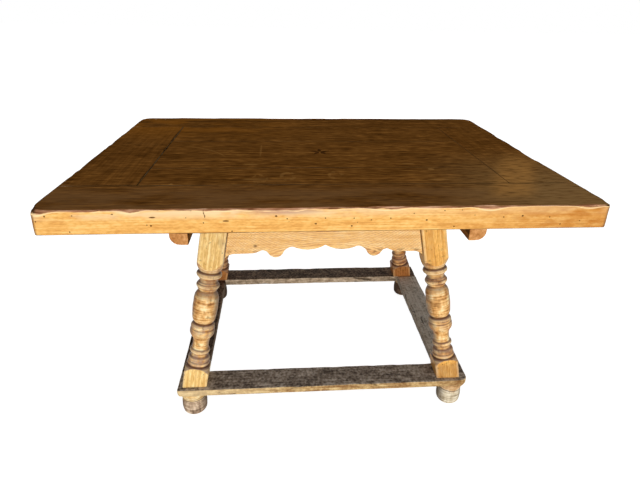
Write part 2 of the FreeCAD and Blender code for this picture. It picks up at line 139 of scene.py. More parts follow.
# Stretchers and cleats
stretcher_radius = 0.0024
stretcher_radius_wear = 0.0050
stretcher_wear_layers = ((0.07, 0.6), (0.022, 0.4))
stretcher_lower_radius = 0.0100
stretcher_lower_reach = 0.010
stretcher_outer_reach = 0.02
stretcher_face_wave = 0.0009
stretcher_left_corner_radius = 0.008
stretcher_right_corner_radius = 0.026
cleat_radius = 0.0025
cleat_round_radius = 0.026
plank_wave_size = 0.06
plank_face_share = 0.8
plank_pith_offset = 0.02
plank_pith_depth = 0.03
sawn_depth = 0.001

# Aprons as fine even meshes; the bow of their grain is in 1 / metre
apron_voxel = 0.0026
relax_rounds = 2
ridge_bulges = (0.06, 0.3)
groove_bulges = (0.03, 0.2)
apron_pith = (0.012, -0.055)
apron_grain_bow = 0.9
apron_wear_depth = 0.0009
apron_wear_size = 0.02
apron_wave_depth = 0.0006
apron_wave_size = 0.05
joint_line = (0.0006, 0.0036)

# Legs and feet as rows of rings; the blocks' ends are shares of the axis
profile_step = 0.0012
profile_window = 5
turn_count = 96
block_row_count = 8
leg_half = 0.039
leg_block_ends = (184 / 596, 558 / 596)
block_level_shares = (0.3, 0.7)
block_inset = 0.0002
crispness_least = 13
crispness_gain = 16
crispness_size = 0.05
level_tolerance = 0.0005
turning_wave_layers = ((0.035, 0.0007), (0.011, 0.0006))
groove_depths = (0.0002, 0.0020)
groove_start_share = 0.08
ridge_heights = (0.0003, 0.0018)
dust_and_shade_slopes = (0.15, 1.1)
corner_limits = (0.60, 0.69)
corner_wear = 0.5
side_shade_limits = (0.55, 0.97)
leg_pith_radius = 0.05
foot_pith = (0.03, 0.02)

# Grey patina along a leg: share of its axis, strength
leg_patina_shares = (
    (0.300, 0.10), (0.330, 0.40), (0.400, 0.50), (0.470, 0.50), (0.530, 0.10), (0.640, 0.00), (0.665, 0.80),
    (0.710, 0.60), (0.735, 0.00), (0.800, 0.00), (0.830, 0.90), (0.930, 0.90), (0.945, 0.00),
)

# First seeds of the noise of each kind of piece
edge_seed = 3
plank_wave_seed = 3
end_wave_seed = 11
side_wave_seed = 12
face_wave_seed = 20
stretcher_seed = 30
cleat_seed = 40
leg_seed = 50
foot_seed = 60
apron_seed = 70

# Growth lines of each wood: spacing and how far they wander, in radians
top_rings = (0.012, 9.0)
edge_rings = (0.013, 5.0)
leg_rings = (0.010, 7.0)
apron_rings = (0.0048, 16.0)

# Worm holes of each wood: spacing, largest radius, share of the places that have one
edge_worm = (0.015, 0.0021, 0.28)
leg_worm = (0.0125, 0.0017, 0.55)
apron_worm = (0.024, 0.0014, 0.5)
stretcher_worm = (0.022, 0.0018, 0.5)
foot_worm = (0.020, 0.0016, 0.5)
cleat_worm = (0.028, 0.0016, 0.4)

# Surface of each wood: roughness, depth of its bump, specular level
top_surface = (0.55, 0.0006, 0.0)
leg_surface = (0.42, 0.0006, 0.08)
apron_surface = (0.62, 0.0007, 0.06)
stretcher_surface = (0.72, 0.0009, 0.04)
foot_surface = (0.75, 0.0009, 0.04)
cleat_surface = (0.65, 0.0007, 0.04)
small_surface = (0.6, 0.0003, 0.0)

# Tones of the top's edges along X and Z: where each starts and where it is full
mottled_x = (0.10, 0.66)
brown_x = (0.18, 0.72)
pale_x = (0.30, -0.10)
pale_z = (cad_high.z - 0.032, cad_high.z - 0.008)
arris_end_x = (cad_high.x - 0.021, cad_high.x - 0.011)
sawn_end_x = (cad_high.x - 0.014, cad_high.x - 0.005)
pink_middle = (-0.12, cad_low.y, cad_high.z - 0.006)
pink_sizes = (0.14, 0.03, 0.015)

# Tones of the top's upper face along X and Y, a painted greyish reflection on its front right, and a painted
# sheen band across its front right corner
grey_front_y = (-0.30, -0.42)
grey_sheen_right_x = (0.22, 0.62)
grey_sheen_right_y = (0.05, -0.40)
amber_x = (0.10, -0.45)
amber_y = (0.05, 0.42)
sheen_band_x = 0.690
sheen_band_slope = 0.50
sheen_band_half_width = 0.085
sheen_band_front_y = (-0.49, -0.38)
sheen_band_back_y = (0.02, -0.2)

# Pale marks on the upper face: middle in X and Y, half sizes
pale_marks = (
    (-0.210, -0.156, 0.028, 0.0060),
    (-0.192, -0.295, 0.045, 0.0060),
    (-0.410, -0.333, 0.0065, 0.0075),
    (0.266, -0.155, 0.024, 0.0055),
    (0.322, -0.211, 0.012, 0.012),
    (0.317, -0.308, 0.040, 0.0060),
)
pale_streak = (-0.186, 0.000, 0.0040, 0.090)
mark_depth = 0.01

# Pale arc through three points, and broken curls by their middles
pale_arc = ((-0.418, 0.046), (-0.355, 0.006), (-0.287, -0.090))
pale_arc_half_width = 0.004
pale_arc_sizes = (0.110, 0.110, 0.02)
pale_curls = ((-0.102, -0.270), (0.033, -0.263), (-0.180, -0.292))
pale_curl_sizes = (0.018, 0.030, 0.05)

# Dark smears along the seam of the left end board: middle in Y, half sizes in X and Y
smears = ((0.190, 0.0060, 0.120), (0.020, 0.0080, 0.040), (-0.260, 0.0050, 0.060))

# Slots, holes and a crack in the front edge, middle in X and Z and half sizes, and the middles of small holes
edge_marks = (
    (-0.420, 0.750, 0.0085, 0.0021), (-0.425, 0.729, 0.0028, 0.0024), (-0.252, 0.739, 0.0095, 0.0021),
    (-0.134, 0.750, 0.0034, 0.0026), (-0.040, 0.729, 0.0032, 0.0024), (0.047, 0.722, 0.0026, 0.0024),
    (0.230, 0.735, 0.0030, 0.0024), (0.470, 0.743, 0.0036, 0.0026), (-0.302, 0.763, 0.0016, 0.0085),
    (-0.300, 0.752, 0.0015, 0.0050), (-0.509, 0.759, 0.0030, 0.0018),
)
edge_holes = (
    (-0.680, 0.743), (-0.434, 0.731), (-0.331, 0.766), (-0.304, 0.735), (-0.108, 0.743), (-0.017, 0.743),
    (0.052, 0.742), (0.094, 0.737), (0.141, 0.741), (0.540, 0.739), (-0.610, 0.716), (0.620, 0.728),
)
edge_hole_radius = 0.0019
edge_mark_depth = 0.02

# Apron: a knot, X where its worn lower rim turns from painted highlight to painted shade and of the two
# spotted stretches, Z of its lower edge
knot_middle = (-0.199, -0.290, 0.569)
knot_sizes = (0.0085, 0.03, 0.0070)
painted_shade_rim_x = (0.0, 0.08)
spotted_left_x = (-0.15, -0.19)
spotted_right_x = (0.0, 0.06)
apron_low_z = (0.568, 0.545)

# Bleached left end of a stretcher along X, low end of a leg and cup of a foot as shares of the axis
bleached_x = (-0.05, -0.44)
leg_low_shares = (0.91, 0.94)
foot_cup_shares = (0.52, 0.36)

# Tones of the legs' blocks, the feet's cups and the stretchers' edges: dark, middle, pale
pale_block = ((214, 166, 92), (240, 199, 124), (251, 223, 158))
amber_block = ((206, 138, 62), (238, 176, 86), (250, 200, 116))
# Brown block tones of the back legs, darker partly as painted shade
brown_block_and_shade = ((152, 104, 58), (178, 126, 72), (200, 150, 94))
# Cup tones of the front left foot, paler partly as painted light
golden_cup_with_painted_light = ((214, 168, 108), (244, 208, 146), (255, 234, 186))
brown_cup = ((172, 128, 82), (210, 166, 116), (240, 206, 160))
worn_edge = ((138, 98, 58), (184, 148, 98), (222, 192, 138))
pale_edge = ((134, 112, 90), (186, 162, 134), (222, 200, 172))
grey_edge = ((92, 74, 58), (140, 118, 96), (182, 160, 134))

# Legs: block tones, shade over all, shade over the low end, share of grey patina, shift of the pattern; the
# back legs' darker, redder tones are partly painted shade
no_shade = (255, 255, 255)
back_shade = (240, 216, 198)
blue_shade = (218, 218, 236)
no_shift = (0.0, 0.0, 0.0)
leg_looks = {
    # The front left leg's shift places its palest mottling where a painted highlight falls on the vase
    "front_left": (pale_block, no_shade, no_shade, 0.75, (0.40, 0.30, -0.10)),
    "front_right": (amber_block, no_shade, blue_shade, 0.40, no_shift),
    "back_left": (brown_block_and_shade, back_shade, no_shade, 0.75, no_shift),
    "back_right": (brown_block_and_shade, back_shade, no_shade, 0.75, no_shift),
}

# Feet: bun tones, cup tones
foot_looks = {
    "left": (((106, 84, 67), (174, 147, 121), (232, 207, 177)), golden_cup_with_painted_light),
    "right": (((164, 146, 118), (218, 202, 172), (246, 236, 214)), brown_cup),
    # Back feet: darker wood, partly painted shade
    "back": (((58, 44, 34), (92, 72, 56), (138, 112, 88)), brown_cup),
}

# Stretchers: upper tones, edge tones, share of the edge's wood, share of bleaching at the left end
stretcher_looks = {
    "front": (((90, 78, 68), (152, 137, 122), (212, 198, 182)), worn_edge, 1.0, 0.4),
    "back": (((60, 47, 38), (108, 89, 72), (166, 142, 118)), pale_edge, 1.0, 0.0),
    "left": (((56, 43, 33), (100, 80, 64), (150, 126, 104)), grey_edge, 0.6, 0.0),
    "right": (((182, 170, 152), (234, 224, 208), (250, 244, 232)), grey_edge, 0.6, 0.0),
}


# Seeded noise and small helpers


def smooth(value, start, end):
    """Soft step from 0 at start to 1 at end."""
    share = np.clip((value - start) / (end - start), 0, 1)
    return share * share * (3 - 2 * share)


def hashed(cells, seed):
    """Repeatable value from 0 to 1 for each lattice cell."""
    mixed = cells[:, 0] * 73856093 ^ cells[:, 1] * 19349663 ^ cells[:, 2] * 83492791 ^ (seed + 1) * 26544357
    mixed = ((mixed ^ (mixed >> 13)) * 1274126177) & 0x7FFFFFFF
    mixed = ((mixed ^ (mixed >> 15)) * 668265263) & 0x7FFFFFFF
    return (mixed >> 7) % 65536 / 65535


def value_noise(points, size, seed):
    """Smooth noise from 0 to 1 with features of a size."""
    scaled = points / size
    cell = np.floor(scaled).astype(np.int64)
    part = scaled - cell
    part = part * part * (3 - 2 * part)
    total = np.zeros(len(points))
    for corner in itertools.product((0, 1), repeat=3):
        weight = np.prod(np.where(corner, part, 1 - part), axis=1)
        total += weight * hashed(cell + np.array(corner), seed)
    return total


def layered_noise(points, layers, seed):
    """Sum of noises given as pairs of size and weight, with seeds in turn."""
    return sum(weight * value_noise(points, size, seed + turn) for turn, (size, weight) in enumerate(layers))


def node_box(name):
    """Lowest and highest corner of a node of the frame."""
    low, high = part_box(name)
    return np.array(low), np.array(high)


def node_points(name):
    """Points of a node of the frame."""
    return np.array([vertex.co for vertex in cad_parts[name].data.vertices])


def srgb(red, green, blue):
    """Colour written as screen values of 0 to 255, for a shader's socket."""
    values = [c / 255 for c in (red, green, blue)]
    linear = [c / 12.92 if c <= 0.04045 else ((c + 0.055) / 1.055) ** 2.4 for c in values]
    return (*linear, 1.0)


def circle_through(first, second, third):
    """Centre and radius of the circle through three points of a plane."""
    rows = [[2 * (p[0] - first[0]), 2 * (p[1] - first[1])] for p in (second, third)]
    values = [p[0] ** 2 - first[0] ** 2 + p[1] ** 2 - first[1] ** 2 for p in (second, third)]
    centre = np.linalg.solve(rows, values)
    return centre, float(np.hypot(*(centre - np.array(first))))


# Shader nodes


class Shader:
    """Node tree of a material or world, written as nested calls."""

    def __init__(self, owner):
        self.owner = owner
        owner.use_nodes = True
        self.tree = owner.node_tree
        self.tree.nodes.clear()

    def add(self, kind, inputs, output=0, **settings):
        """New node with its settings and inputs; returns one of its outputs."""
        node = self.tree.nodes.new("ShaderNode" + kind)
        for key, value in settings.items():
            setattr(node, key, value)
        for key, value in inputs.items():
            if isinstance(value, bpy.types.NodeSocket):
                self.tree.links.new(value, node.inputs[key])
            else:
                node.inputs[key].default_value = value
        return node.outputs[output] if node.outputs else None

    def attribute(self, name, output="Fac"):
        return self.add("Attribute", {}, output, attribute_name=name)

    def place(self):
        return self.add("TexCoord", {}, "Object")

    def split(self, vector):
        return [self.add("SeparateXYZ", {0: vector}, axis) for axis in range(3)]

    def math(self, operation, first, second=0.0):
        return self.add("Math", {0: first, 1: second}, operation=operation)

    def most(self, first, second):
        return self.math("MAXIMUM", first, second)

    def weighted(self, *pairs):
        """Sum of values, each times its weight."""
        total = 0.0
        for value, weight in pairs:
            total = self.add("Math", {0: value, 1: weight, 2: total}, operation="MULTIPLY_ADD")
        return total

    def product(self, first, *others):
        for other in others:
            first = self.math("MULTIPLY", first, other)
        return first

    def stretch(self, vector, factors):
        return self.add("VectorMath", {0: vector, 1: factors}, operation="MULTIPLY")

    def noise(self, vector, scales, detail, distortion=0.0):
        """Noise from 0 to 1, its scales along the axes in features to a metre."""
        inputs = {"Vector": self.stretch(vector, scales), "Scale": 1.0, "Detail": detail}
        return self.add("TexNoise", {**inputs, "Distortion": distortion}, "Fac")

    def step(self, value, start, end):
        """Soft step from 0 at start to 1 at end."""
        inputs = {"Value": value, "From Min": start, "From Max": end, "To Min": 0.0, "To Max": 1.0}
        return self.add("MapRange", inputs, interpolation_type="SMOOTHSTEP")

    def patches(self, vector, scales, detail, start, end):
        """Soft patches where noise passes from start to end."""
        return self.step(self.noise(vector, scales, detail), start, end)

    def band(self, value, middle, half_width, core=0.3):
        """1 in a core about a middle, falling softly to 0 at half a width; the core is a share of that."""
        away = self.math("ABSOLUTE", self.math("SUBTRACT", value, middle))
        return self.step(away, half_width, half_width * core)

    def mix(self, factor, first, second, blend="MIX"):
        return self.add("Mix", {0: factor, 6: first, 7: second}, 2, data_type="RGBA", blend_type=blend)

    def tint(self, colour, tone, *shares):
        """A colour drawn towards a screen tone by the product of some shares."""
        return self.mix(self.product(*shares), colour, srgb(*tone))

    def ramp(self, value, places, tones):
        """Screen tones in turn along a value, each full at its place."""
        colour = srgb(*tones[0])
        for start, end, tone in zip(places, places[1:], tones[1:]):
            share = self.add("MapRange", {"Value": value, "From Min": start, "From Max": end})
            colour = self.tint(colour, tone, share)
        return colour

    def distance(self, vector, centre, sizes):
        """Distance from a centre, as a share of the half sizes of an ellipsoid."""
        away = self.add("VectorMath", {0: vector, 1: centre}, operation="SUBTRACT")
        scaled = self.stretch(away, tuple(1 / size for size in sizes))
        return self.add("VectorMath", {0: scaled}, "Value", operation="LENGTH")

    def spot(self, vector, centre, sizes, softness=0.4):
        """1 in an ellipsoid about a centre, falling to 0 at its edge."""
        return self.step(self.distance(vector, centre, sizes), 1.0, 1.0 - softness)

    def ring(self, vector, centre, sizes, half_width):
        """1 along the edge of an ellipsoid, falling to 0 at half a width, which is a share of its sizes."""
        return self.band(self.distance(vector, centre, sizes), 1.0, half_width)

    def spots(self, vector, rows):
        """Largest of several spots, given as rows of centre and sizes."""
        total = 0.0
        for centre, sizes in rows:
            total = self.most(total, self.spot(vector, centre, sizes))
        return total

    def holes(self, vector, spacing, radius, share):
        """1 in scattered round holes up to a radius, on a share of the cells of a spacing."""
        node = self.tree.nodes.new("ShaderNodeTexVoronoi")
        self.tree.links.new(vector, node.inputs["Vector"])
        node.inputs["Scale"].default_value = 1 / spacing
        chance, size = (self.add("SeparateColor", {0: node.outputs["Color"]}, part) for part in (0, 1))
        limit = self.product(size, radius / spacing)
        near = self.math("LESS_THAN", node.outputs["Distance"], limit)
        return self.product(near, self.math("LESS_THAN", chance, share))

    def cracks(self, grain, along, across, width, share):
        """1 in thin cracks along the grain, on a share of the wood."""
        line = self.noise(grain, (along, across, across), 2.0, 0.4)
        where = self.noise(grain, (along * 2.2, across * 0.8, across * 0.8), 1.0)
        return self.product(self.band(line, 0.5, width), self.step(where, 1.0 - share, 1.06 - share))

    def rings(self, grain, spacing, wander):
        """Growth lines from 0 to 1 round the pith line of the log that a piece is cut from."""
        drift = self.noise(grain, (3.2, 16.0, 16.0), 3.0)
        ripple = self.noise(grain, (34.0, 60.0, 60.0), 2.0)
        turns = (self.attribute("ring"), 2 * math.pi / spacing)
        wave = self.math("SINE", self.weighted(turns, (drift, wander), (ripple, 3.2)))
        return self.weighted((wave, 0.5), (1.0, 0.5))

    def finish(self, colour, height, roughness, bump_depth, specular):
        """Close the tree with a principled surface and a bump."""
        bump = self.add("Bump", {"Height": height, "Strength": 1.0, "Distance": bump_depth}, "Normal")
        inputs = {"Base Color": colour, "Roughness": roughness, "Normal": bump}
        surface = self.add("BsdfPrincipled", {**inputs, "Specular IOR Level": specular})
        self.add("OutputMaterial", {"Surface": surface})
        return self.owner


# Looks: noise and shares run from 0 to 1, and the attribute side from 0, up, to 2, down


def new_look(name):
    """Shader of a piece of wood, with its place in the log and its place in the frame."""
    n = Shader(bpy.data.materials.new(name))
    return n, n.attribute("grain", "Vector"), n.place()


def honey_wood(n, grain, tones, rings):
    """Colour, height and growth lines of pale worn wood with fine streaks, speckle and soft patches."""
    fine = n.noise(grain, (7.0, 260.0, 260.0), 4.0)
    speckle = n.noise(grain, (90.0, 240.0, 240.0), 3.0)
    blotch = n.noise(grain, (26.0, 80.0, 80.0), 4.0)
    growth = n.rings(grain, *rings)
    tone = n.weighted((fine, 0.42), (speckle, 0.30), (blotch, 0.28))
    colour = n.ramp(tone, (0.40, 0.50, 0.60), tones)
    height = n.weighted((fine, 0.6), (growth, 0.25), (speckle, 0.3))
    lines = n.product(n.step(growth, 0.50, 0.95), n.step(speckle, 0.32, 0.60))
    return colour, height, lines


def top_look(name, grain_contrast):
    """Dark waxed upper face, darker partly as painted shade, brown worn arrises with a painted highlight,
    honey-coloured edges, raw underside reaching over the lower arris as painted shade.
    """
    n, grain, place = new_look(name)
    side, outer = n.attribute("side"), n.attribute("outer")
    x, y, z = n.split(place)
    dark, fine = waxed_and_shaded_face(n, grain, place, x, y, grain_contrast)
    honey, honey_height, pits = honey_edge(n, grain, place, x, z)

    # Worn arris between them: brown, with a painted highlight along its lower side
    ragged = n.weighted((side, 1.0), (n.noise(place, (40.0, 60.0, 40.0), 4.0), 0.5), (1.0, -0.25))
    worn_tones = ((112, 70, 44), (172, 122, 90), (214, 170, 136))
    worn = n.ramp(n.noise(grain, (14.0, 160.0, 160.0), 4.0), (0.36, 0.50, 0.64), worn_tones)
    worn = n.tint(worn, (72, 48, 28), n.step(n.math("ABSOLUTE", x), *arris_end_x))
    colour = n.mix(n.product(n.step(ragged, 0.16, 0.40), outer), dark, worn)
    colour = n.mix(n.step(ragged, 0.62, 0.78), colour, honey)
    # The pale band low on the arris is a painted highlight
    pale_where = n.patches(place, (18.0, 18.0, 18.0), 3.0, 0.34, 0.5)
    colour = n.tint(colour, (246, 214, 160), n.band(side, 0.84, 0.12), pale_where, 0.85)
    # Raw underside, reaching up over the lower arris as painted shade
    raw_underside_and_shade = n.ramp(fine, (0.35, 0.65), ((104, 72, 42), (150, 108, 66)))
    colour = n.mix(n.step(side, 1.10, 1.40), colour, raw_underside_and_shade)

    # Dirt in the seams
    seam = n.product(n.math("SUBTRACT", 1.0, outer), n.step(side, 0.08, 0.40))
    colour = n.tint(colour, (34, 19, 6), seam, 0.85)
    height = n.weighted((fine, 0.5), (pits, -2.2), (honey_height, 0.3))
    return n.finish(colour, height, *top_surface)


def honey_edge(n, grain, place, x, z):
    """Colour, height and pits of the top's edges: worm holes and small checks in honey-coloured wood."""
    tones = ((214, 152, 78), (232, 175, 97), (242, 196, 122))
    honey, height, _ = honey_wood(n, grain, tones, edge_rings)
    blotch = n.noise(place, (26.0, 26.0, 70.0), 5.0)
    mottled = n.product(n.step(x, *mottled_x), n.step(blotch, 0.40, 0.66))
    browner = n.weighted((n.step(x, *brown_x), 0.50), (mottled, 0.42))
    honey = n.tint(honey, (184, 114, 44), browner)
    pale_where = n.patches(place, (11.0, 11.0, 40.0), 3.0, 0.32, 0.54)
    paler = n.weighted((n.step(x, *pale_x), 0.65), (1.0, 0.24))
    honey = n.tint(honey, (236, 204, 158), n.step(z, *pale_z), pale_where, paler)
    honey = n.tint(honey, (192, 148, 120), n.spot(place, pink_middle, pink_sizes, 0.8), 0.9)
    bored = n.most(n.holes(place, *edge_worm), n.spots(place, front_edge_marks()))
    pits = n.most(bored, n.product(n.cracks(grain, 5.0, 60.0, 0.010, 0.30), 0.5))
    honey = n.tint(honey, (96, 54, 20), pits, 0.9)
    honey = n.tint(honey, (132, 92, 62), n.step(n.math("ABSOLUTE", x), *sawn_end_x), 0.8)
    return honey, height, pits


def waxed_and_shaded_face(n, grain, place, x, y, grain_contrast):
    """Colour and fine streaks of the dark upper face: waxed wood, darker partly as painted shade."""
    fine = n.noise(grain, (6.0, 200.0, 200.0), 5.0)
    streak = n.noise(grain, (2.6, 96.0, 96.0), 4.0, 0.3)
    blotch = n.noise(place, (7.0, 16.0, 7.0), 4.0)
    scuffs = n.noise(place, (26.0, 130.0, 26.0), 4.0)
    shares = ((fine, 0.30 * grain_contrast), (streak, 0.17 * grain_contrast), (blotch, 0.15), (scuffs, 0.38))
    level = 0.5 * (1 - sum(share for _, share in shares))
    tones = ((66, 38, 11), (95, 59, 21), (111, 71, 29), (144, 97, 44))
    dark = n.ramp(n.weighted(*shares, (1.0, level)), (0.41, 0.47, 0.53, 0.60), tones)
    dark = n.tint(dark, (58, 33, 8), n.step(n.rings(grain, *top_rings), 0.6, 1.0), 0.18)
    dark = n.tint(dark, (110, 78, 46), n.step(y, *grey_front_y), n.step(blotch, 0.25, 0.60), 0.7)
    # Painted reflection: a greyish sheen over the front right of the upper face
    grey_sheen_right = n.product(n.step(x, *grey_sheen_right_x), n.step(y, *grey_sheen_right_y), 0.85)
    dark = n.tint(dark, (138, 106, 64), grey_sheen_right, n.step(scuffs, 0.2, 0.6))
    amber = n.product(n.step(y, *amber_y), n.step(x, *amber_x), n.step(blotch, 0.36, 0.60), 0.6)
    dark = n.tint(dark, (134, 82, 22), amber)
    # Painted sheen: a pale band across the front right corner that stands for a reflection
    sheen_band_line = n.weighted((x, 1.0), (y, -sheen_band_slope), (1.0, -sheen_band_x))
    sheen_band_reach = n.product(n.step(y, *sheen_band_back_y), n.step(y, *sheen_band_front_y), 0.75)
    painted_sheen_band = n.product(n.band(sheen_band_line, 0.0, sheen_band_half_width), sheen_band_reach)
    dark = n.tint(dark, (166, 118, 60), painted_sheen_band, n.step(scuffs, 0.25, 0.6))
    dark = n.tint(dark, (56, 32, 9), n.patches(place, (16.0, 44.0, 16.0), 4.0, 0.58, 0.72), 0.30)
    scratch_lines = n.patches(place, (4.0, 300.0, 4.0), 2.0, 0.62, 0.70)
    scratch_where = n.patches(place, (5.0, 9.0, 5.0), 2.0, 0.48, 0.62)
    dark = n.tint(dark, (156, 112, 62), scratch_lines, scratch_where, 0.4)
    dark = n.tint(dark, (160, 116, 62), top_marks(n, place), 0.45)
    seam_x = node_box("top_left_end_board")[1][0]
    dark = n.tint(dark, (42, 23, 6), n.spots(place, [on_top(seam_x, *row) for row in smears]), 0.6)
    return dark, fine


def on_top(x, y, half_x, half_y):
    """Centre and half sizes of a mark on the upper face."""
    return (x, y, cad_high.z), (half_x, half_y, mark_depth)


def top_marks(n, place):
    """Pale scratches and dots on the upper face, where the photograph shows them."""
    level = cad_high.z
    centre, radius = circle_through(*pale_arc)
    circle = n.ring(place, (*centre, level), (radius, radius, radius), pale_arc_half_width / radius)
    arc = n.product(circle, n.spot(place, (*pale_arc[1], level), pale_arc_sizes))
    marks = n.most(n.product(arc, 0.6), n.spots(place, [on_top(*row) for row in pale_marks]))
    marks = n.most(marks, n.product(n.spot(place, *on_top(*pale_streak)), 0.45))
    broken = n.product(n.patches(place, (62.0, 40.0, 40.0), 2.0, 0.47, 0.56), 0.6)
    for x, y in pale_curls:
        curl = n.ring(place, (x, y, level), pale_curl_sizes, 0.4)
        marks = n.most(marks, n.product(curl, broken))
    return marks


def front_edge_marks():
    """Centres and half sizes of the marks in the front edge."""
    rows = [*edge_marks, *((x, z, edge_hole_radius, edge_hole_radius) for x, z in edge_holes)]
    return [((x, cad_low.y, z), (half_x, edge_mark_depth, half_z)) for x, z, half_x, half_z in rows]


def leg_look(name, block_tones, shade, low_shade, greying, shift):
    """Pale blocks, browner turnings, upper sides darker with dust and painted shade, dark grooves, pale
    ridges that are worn and carry painted highlights, and painted shade on the sides.

    One shade darkens all of the leg and one its low end.
    """
    n, grain, frame_place = new_look(name)
    place = n.add("VectorMath", {0: frame_place, 1: shift}, operation="ADD")
    wear, grime, dust_and_shade = (n.attribute(key) for key in ("wear", "grime", "dust_and_shade"))
    block, height, lines = honey_wood(n, grain, block_tones, leg_rings)
    block = n.tint(block, (196, 134, 70), lines, 0.4)
    blotch = n.noise(place, (36.0, 36.0, 36.0), 4.0)
    scores = n.noise(grain, (190.0, 12.0, 12.0), 4.0, 0.6)
    tone = n.weighted((n.noise(grain, (22.0, 90.0, 90.0), 4.0), 0.20), (blotch, 0.42), (scores, 0.38))
    body_tones = ((150, 97, 48), (212, 153, 86), (242, 194, 126), (255, 230, 176))
    colour = n.mix(n.attribute("turned"), block, n.ramp(tone, (0.40, 0.47, 0.53, 0.60), body_tones))
    colour = n.tint(colour, (176, 138, 86), n.patches(place, (24.0, 24.0, 18.0), 3.0, 0.56, 0.72), 0.45)
    # Slopes that face up: dust with painted shade
    colour = n.tint(colour, (130, 104, 92), dust_and_shade, n.step(blotch, 0.22, 0.52), 0.85)
    greyed = n.patches(place, (60.0, 60.0, 90.0), 4.0, 0.36, 0.58)
    colour = n.tint(colour, (176, 146, 128), n.attribute("patina"), greyed, greying)
    # Painted shade on the turnings' sides that face across X
    colour = n.tint(colour, (128, 98, 84), n.attribute("side_shade"), n.step(blotch, 0.30, 0.56), 0.65)
    # Ridges and block corners: worn pale, with painted highlights on the ridges
    colour = n.tint(colour, (255, 226, 172), wear, n.step(blotch, 0.28, 0.50), 0.95)
    dirt = n.product(n.patches(place, (75.0, 75.0, 75.0), 3.0, 0.60, 0.72), 0.55)
    colour = n.tint(colour, (78, 44, 18), n.most(grime, dirt), 0.78)
    bored = n.product(n.holes(place, *leg_worm), n.patches(place, (20.0, 20.0, 20.0), 2.0, 0.47, 0.53))
    pits = n.most(bored, n.product(n.cracks(grain, 5.0, 56.0, 0.012, 0.34), 0.7))
    colour = n.tint(colour, (70, 40, 18), pits, 0.9)
    colour = n.mix(1.0, colour, srgb(*shade), "MULTIPLY")
    low = n.mix(1.0, colour, srgb(*low_shade), "MULTIPLY")
    colour = n.mix(n.step(n.attribute("depth_share"), *leg_low_shares), colour, low)
    return n.finish(colour, n.weighted((height, 0.8), (pits, -2.0), (scores, 0.4)), *leg_surface)


def apron_look():
    """Honey-coloured board with wavy reddish growth lines, a knot, dark spots along its lower edge."""
    n, grain, place = new_look("apron_look")
    tones = ((230, 174, 102), (246, 198, 128), (254, 218, 156))
    colour, height, lines = honey_wood(n, grain, tones, apron_rings)
    colour = n.tint(colour, (204, 138, 92), lines, 0.85)
    colour = n.tint(colour, (120, 84, 52), n.spot(place, knot_middle, knot_sizes, 0.7), 0.85)
    x, _, z = n.split(place)
    # Worn lower rim: pale with a painted highlight on the left, dark with painted shade on the right
    highlight_and_shade_rim = n.tint(srgb(255, 228, 170), (128, 92, 60), n.step(x, *painted_shade_rim_x))
    colour = n.mix(n.product(n.attribute("wear"), 0.75), colour, highlight_and_shade_rim)
    spotted = n.most(n.step(x, *spotted_left_x), n.step(x, *spotted_right_x))
    spots = n.patches(place, (50.0, 50.0, 90.0), 3.0, 0.50, 0.64)
    colour = n.tint(colour, (118, 80, 50), n.step(z, *apron_low_z), spots, spotted, 0.6)
    colour = n.tint(colour, (96, 60, 30), n.attribute("grime"), 0.7)
    colour = n.tint(colour, (74, 42, 20), n.attribute("joint"), 0.85)
    pits = n.most(n.holes(place, *apron_worm), n.product(n.cracks(grain, 5.0, 50.0, 0.010, 0.3), 0.5))
    colour = n.tint(colour, (92, 56, 26), pits, 0.9)
    return n.finish(colour, n.weighted((height, 0.9), (pits, -1.8)), *apron_surface)


def stretcher_look(name, top_tones, edge_tones, edge_share, bleached):
    """Scuffed dark upper face and paler worn edges.

    The shares say how far the edges' pale wood and a bleached left end show.
    """
    n, grain, place = new_look(name)
    side = n.attribute("side")
    fine = n.noise(grain, (9.0, 170.0, 170.0), 5.0)
    speckle = n.noise(grain, (120.0, 110.0, 110.0), 3.0)
    blotch = n.noise(place, (26.0, 26.0, 26.0), 4.0)
    tone = n.weighted((fine, 0.30), (speckle, 0.42), (blotch, 0.28))
    upper = n.ramp(tone, (0.40, 0.50, 0.61), top_tones)
    edge_tone = n.weighted((fine, 0.36), (speckle, 0.28), (n.noise(place, (40.0, 40.0, 90.0), 3.0), 0.36))
    edge = n.ramp(edge_tone, (0.40, 0.50, 0.60), edge_tones)
    edge = n.tint(edge, (246, 222, 174), n.step(n.split(place)[0], *bleached_x), bleached)
    ragged = n.weighted((side, 1.0), (n.noise(place, (34.0, 34.0, 34.0), 4.0), 0.8), (1.0, -0.40))
    colour = n.mix(n.product(n.step(ragged, 0.26, 0.52), edge_share), upper, edge)
    colour = n.tint(colour, edge_tones[2], n.attribute("wear"), n.step(blotch, 0.42, 0.6), 0.5)
    colour = n.tint(colour, (70, 52, 36), n.step(side, 1.4, 1.7))
    pits = n.most(n.holes(place, *stretcher_worm), n.product(n.cracks(grain, 4.0, 50.0, 0.014, 0.4), 0.7))
    colour = n.tint(colour, (30, 22, 16), pits)
    return n.finish(colour, n.weighted((fine, 0.8), (speckle, 0.5), (pits, -2.0)), *stretcher_surface)


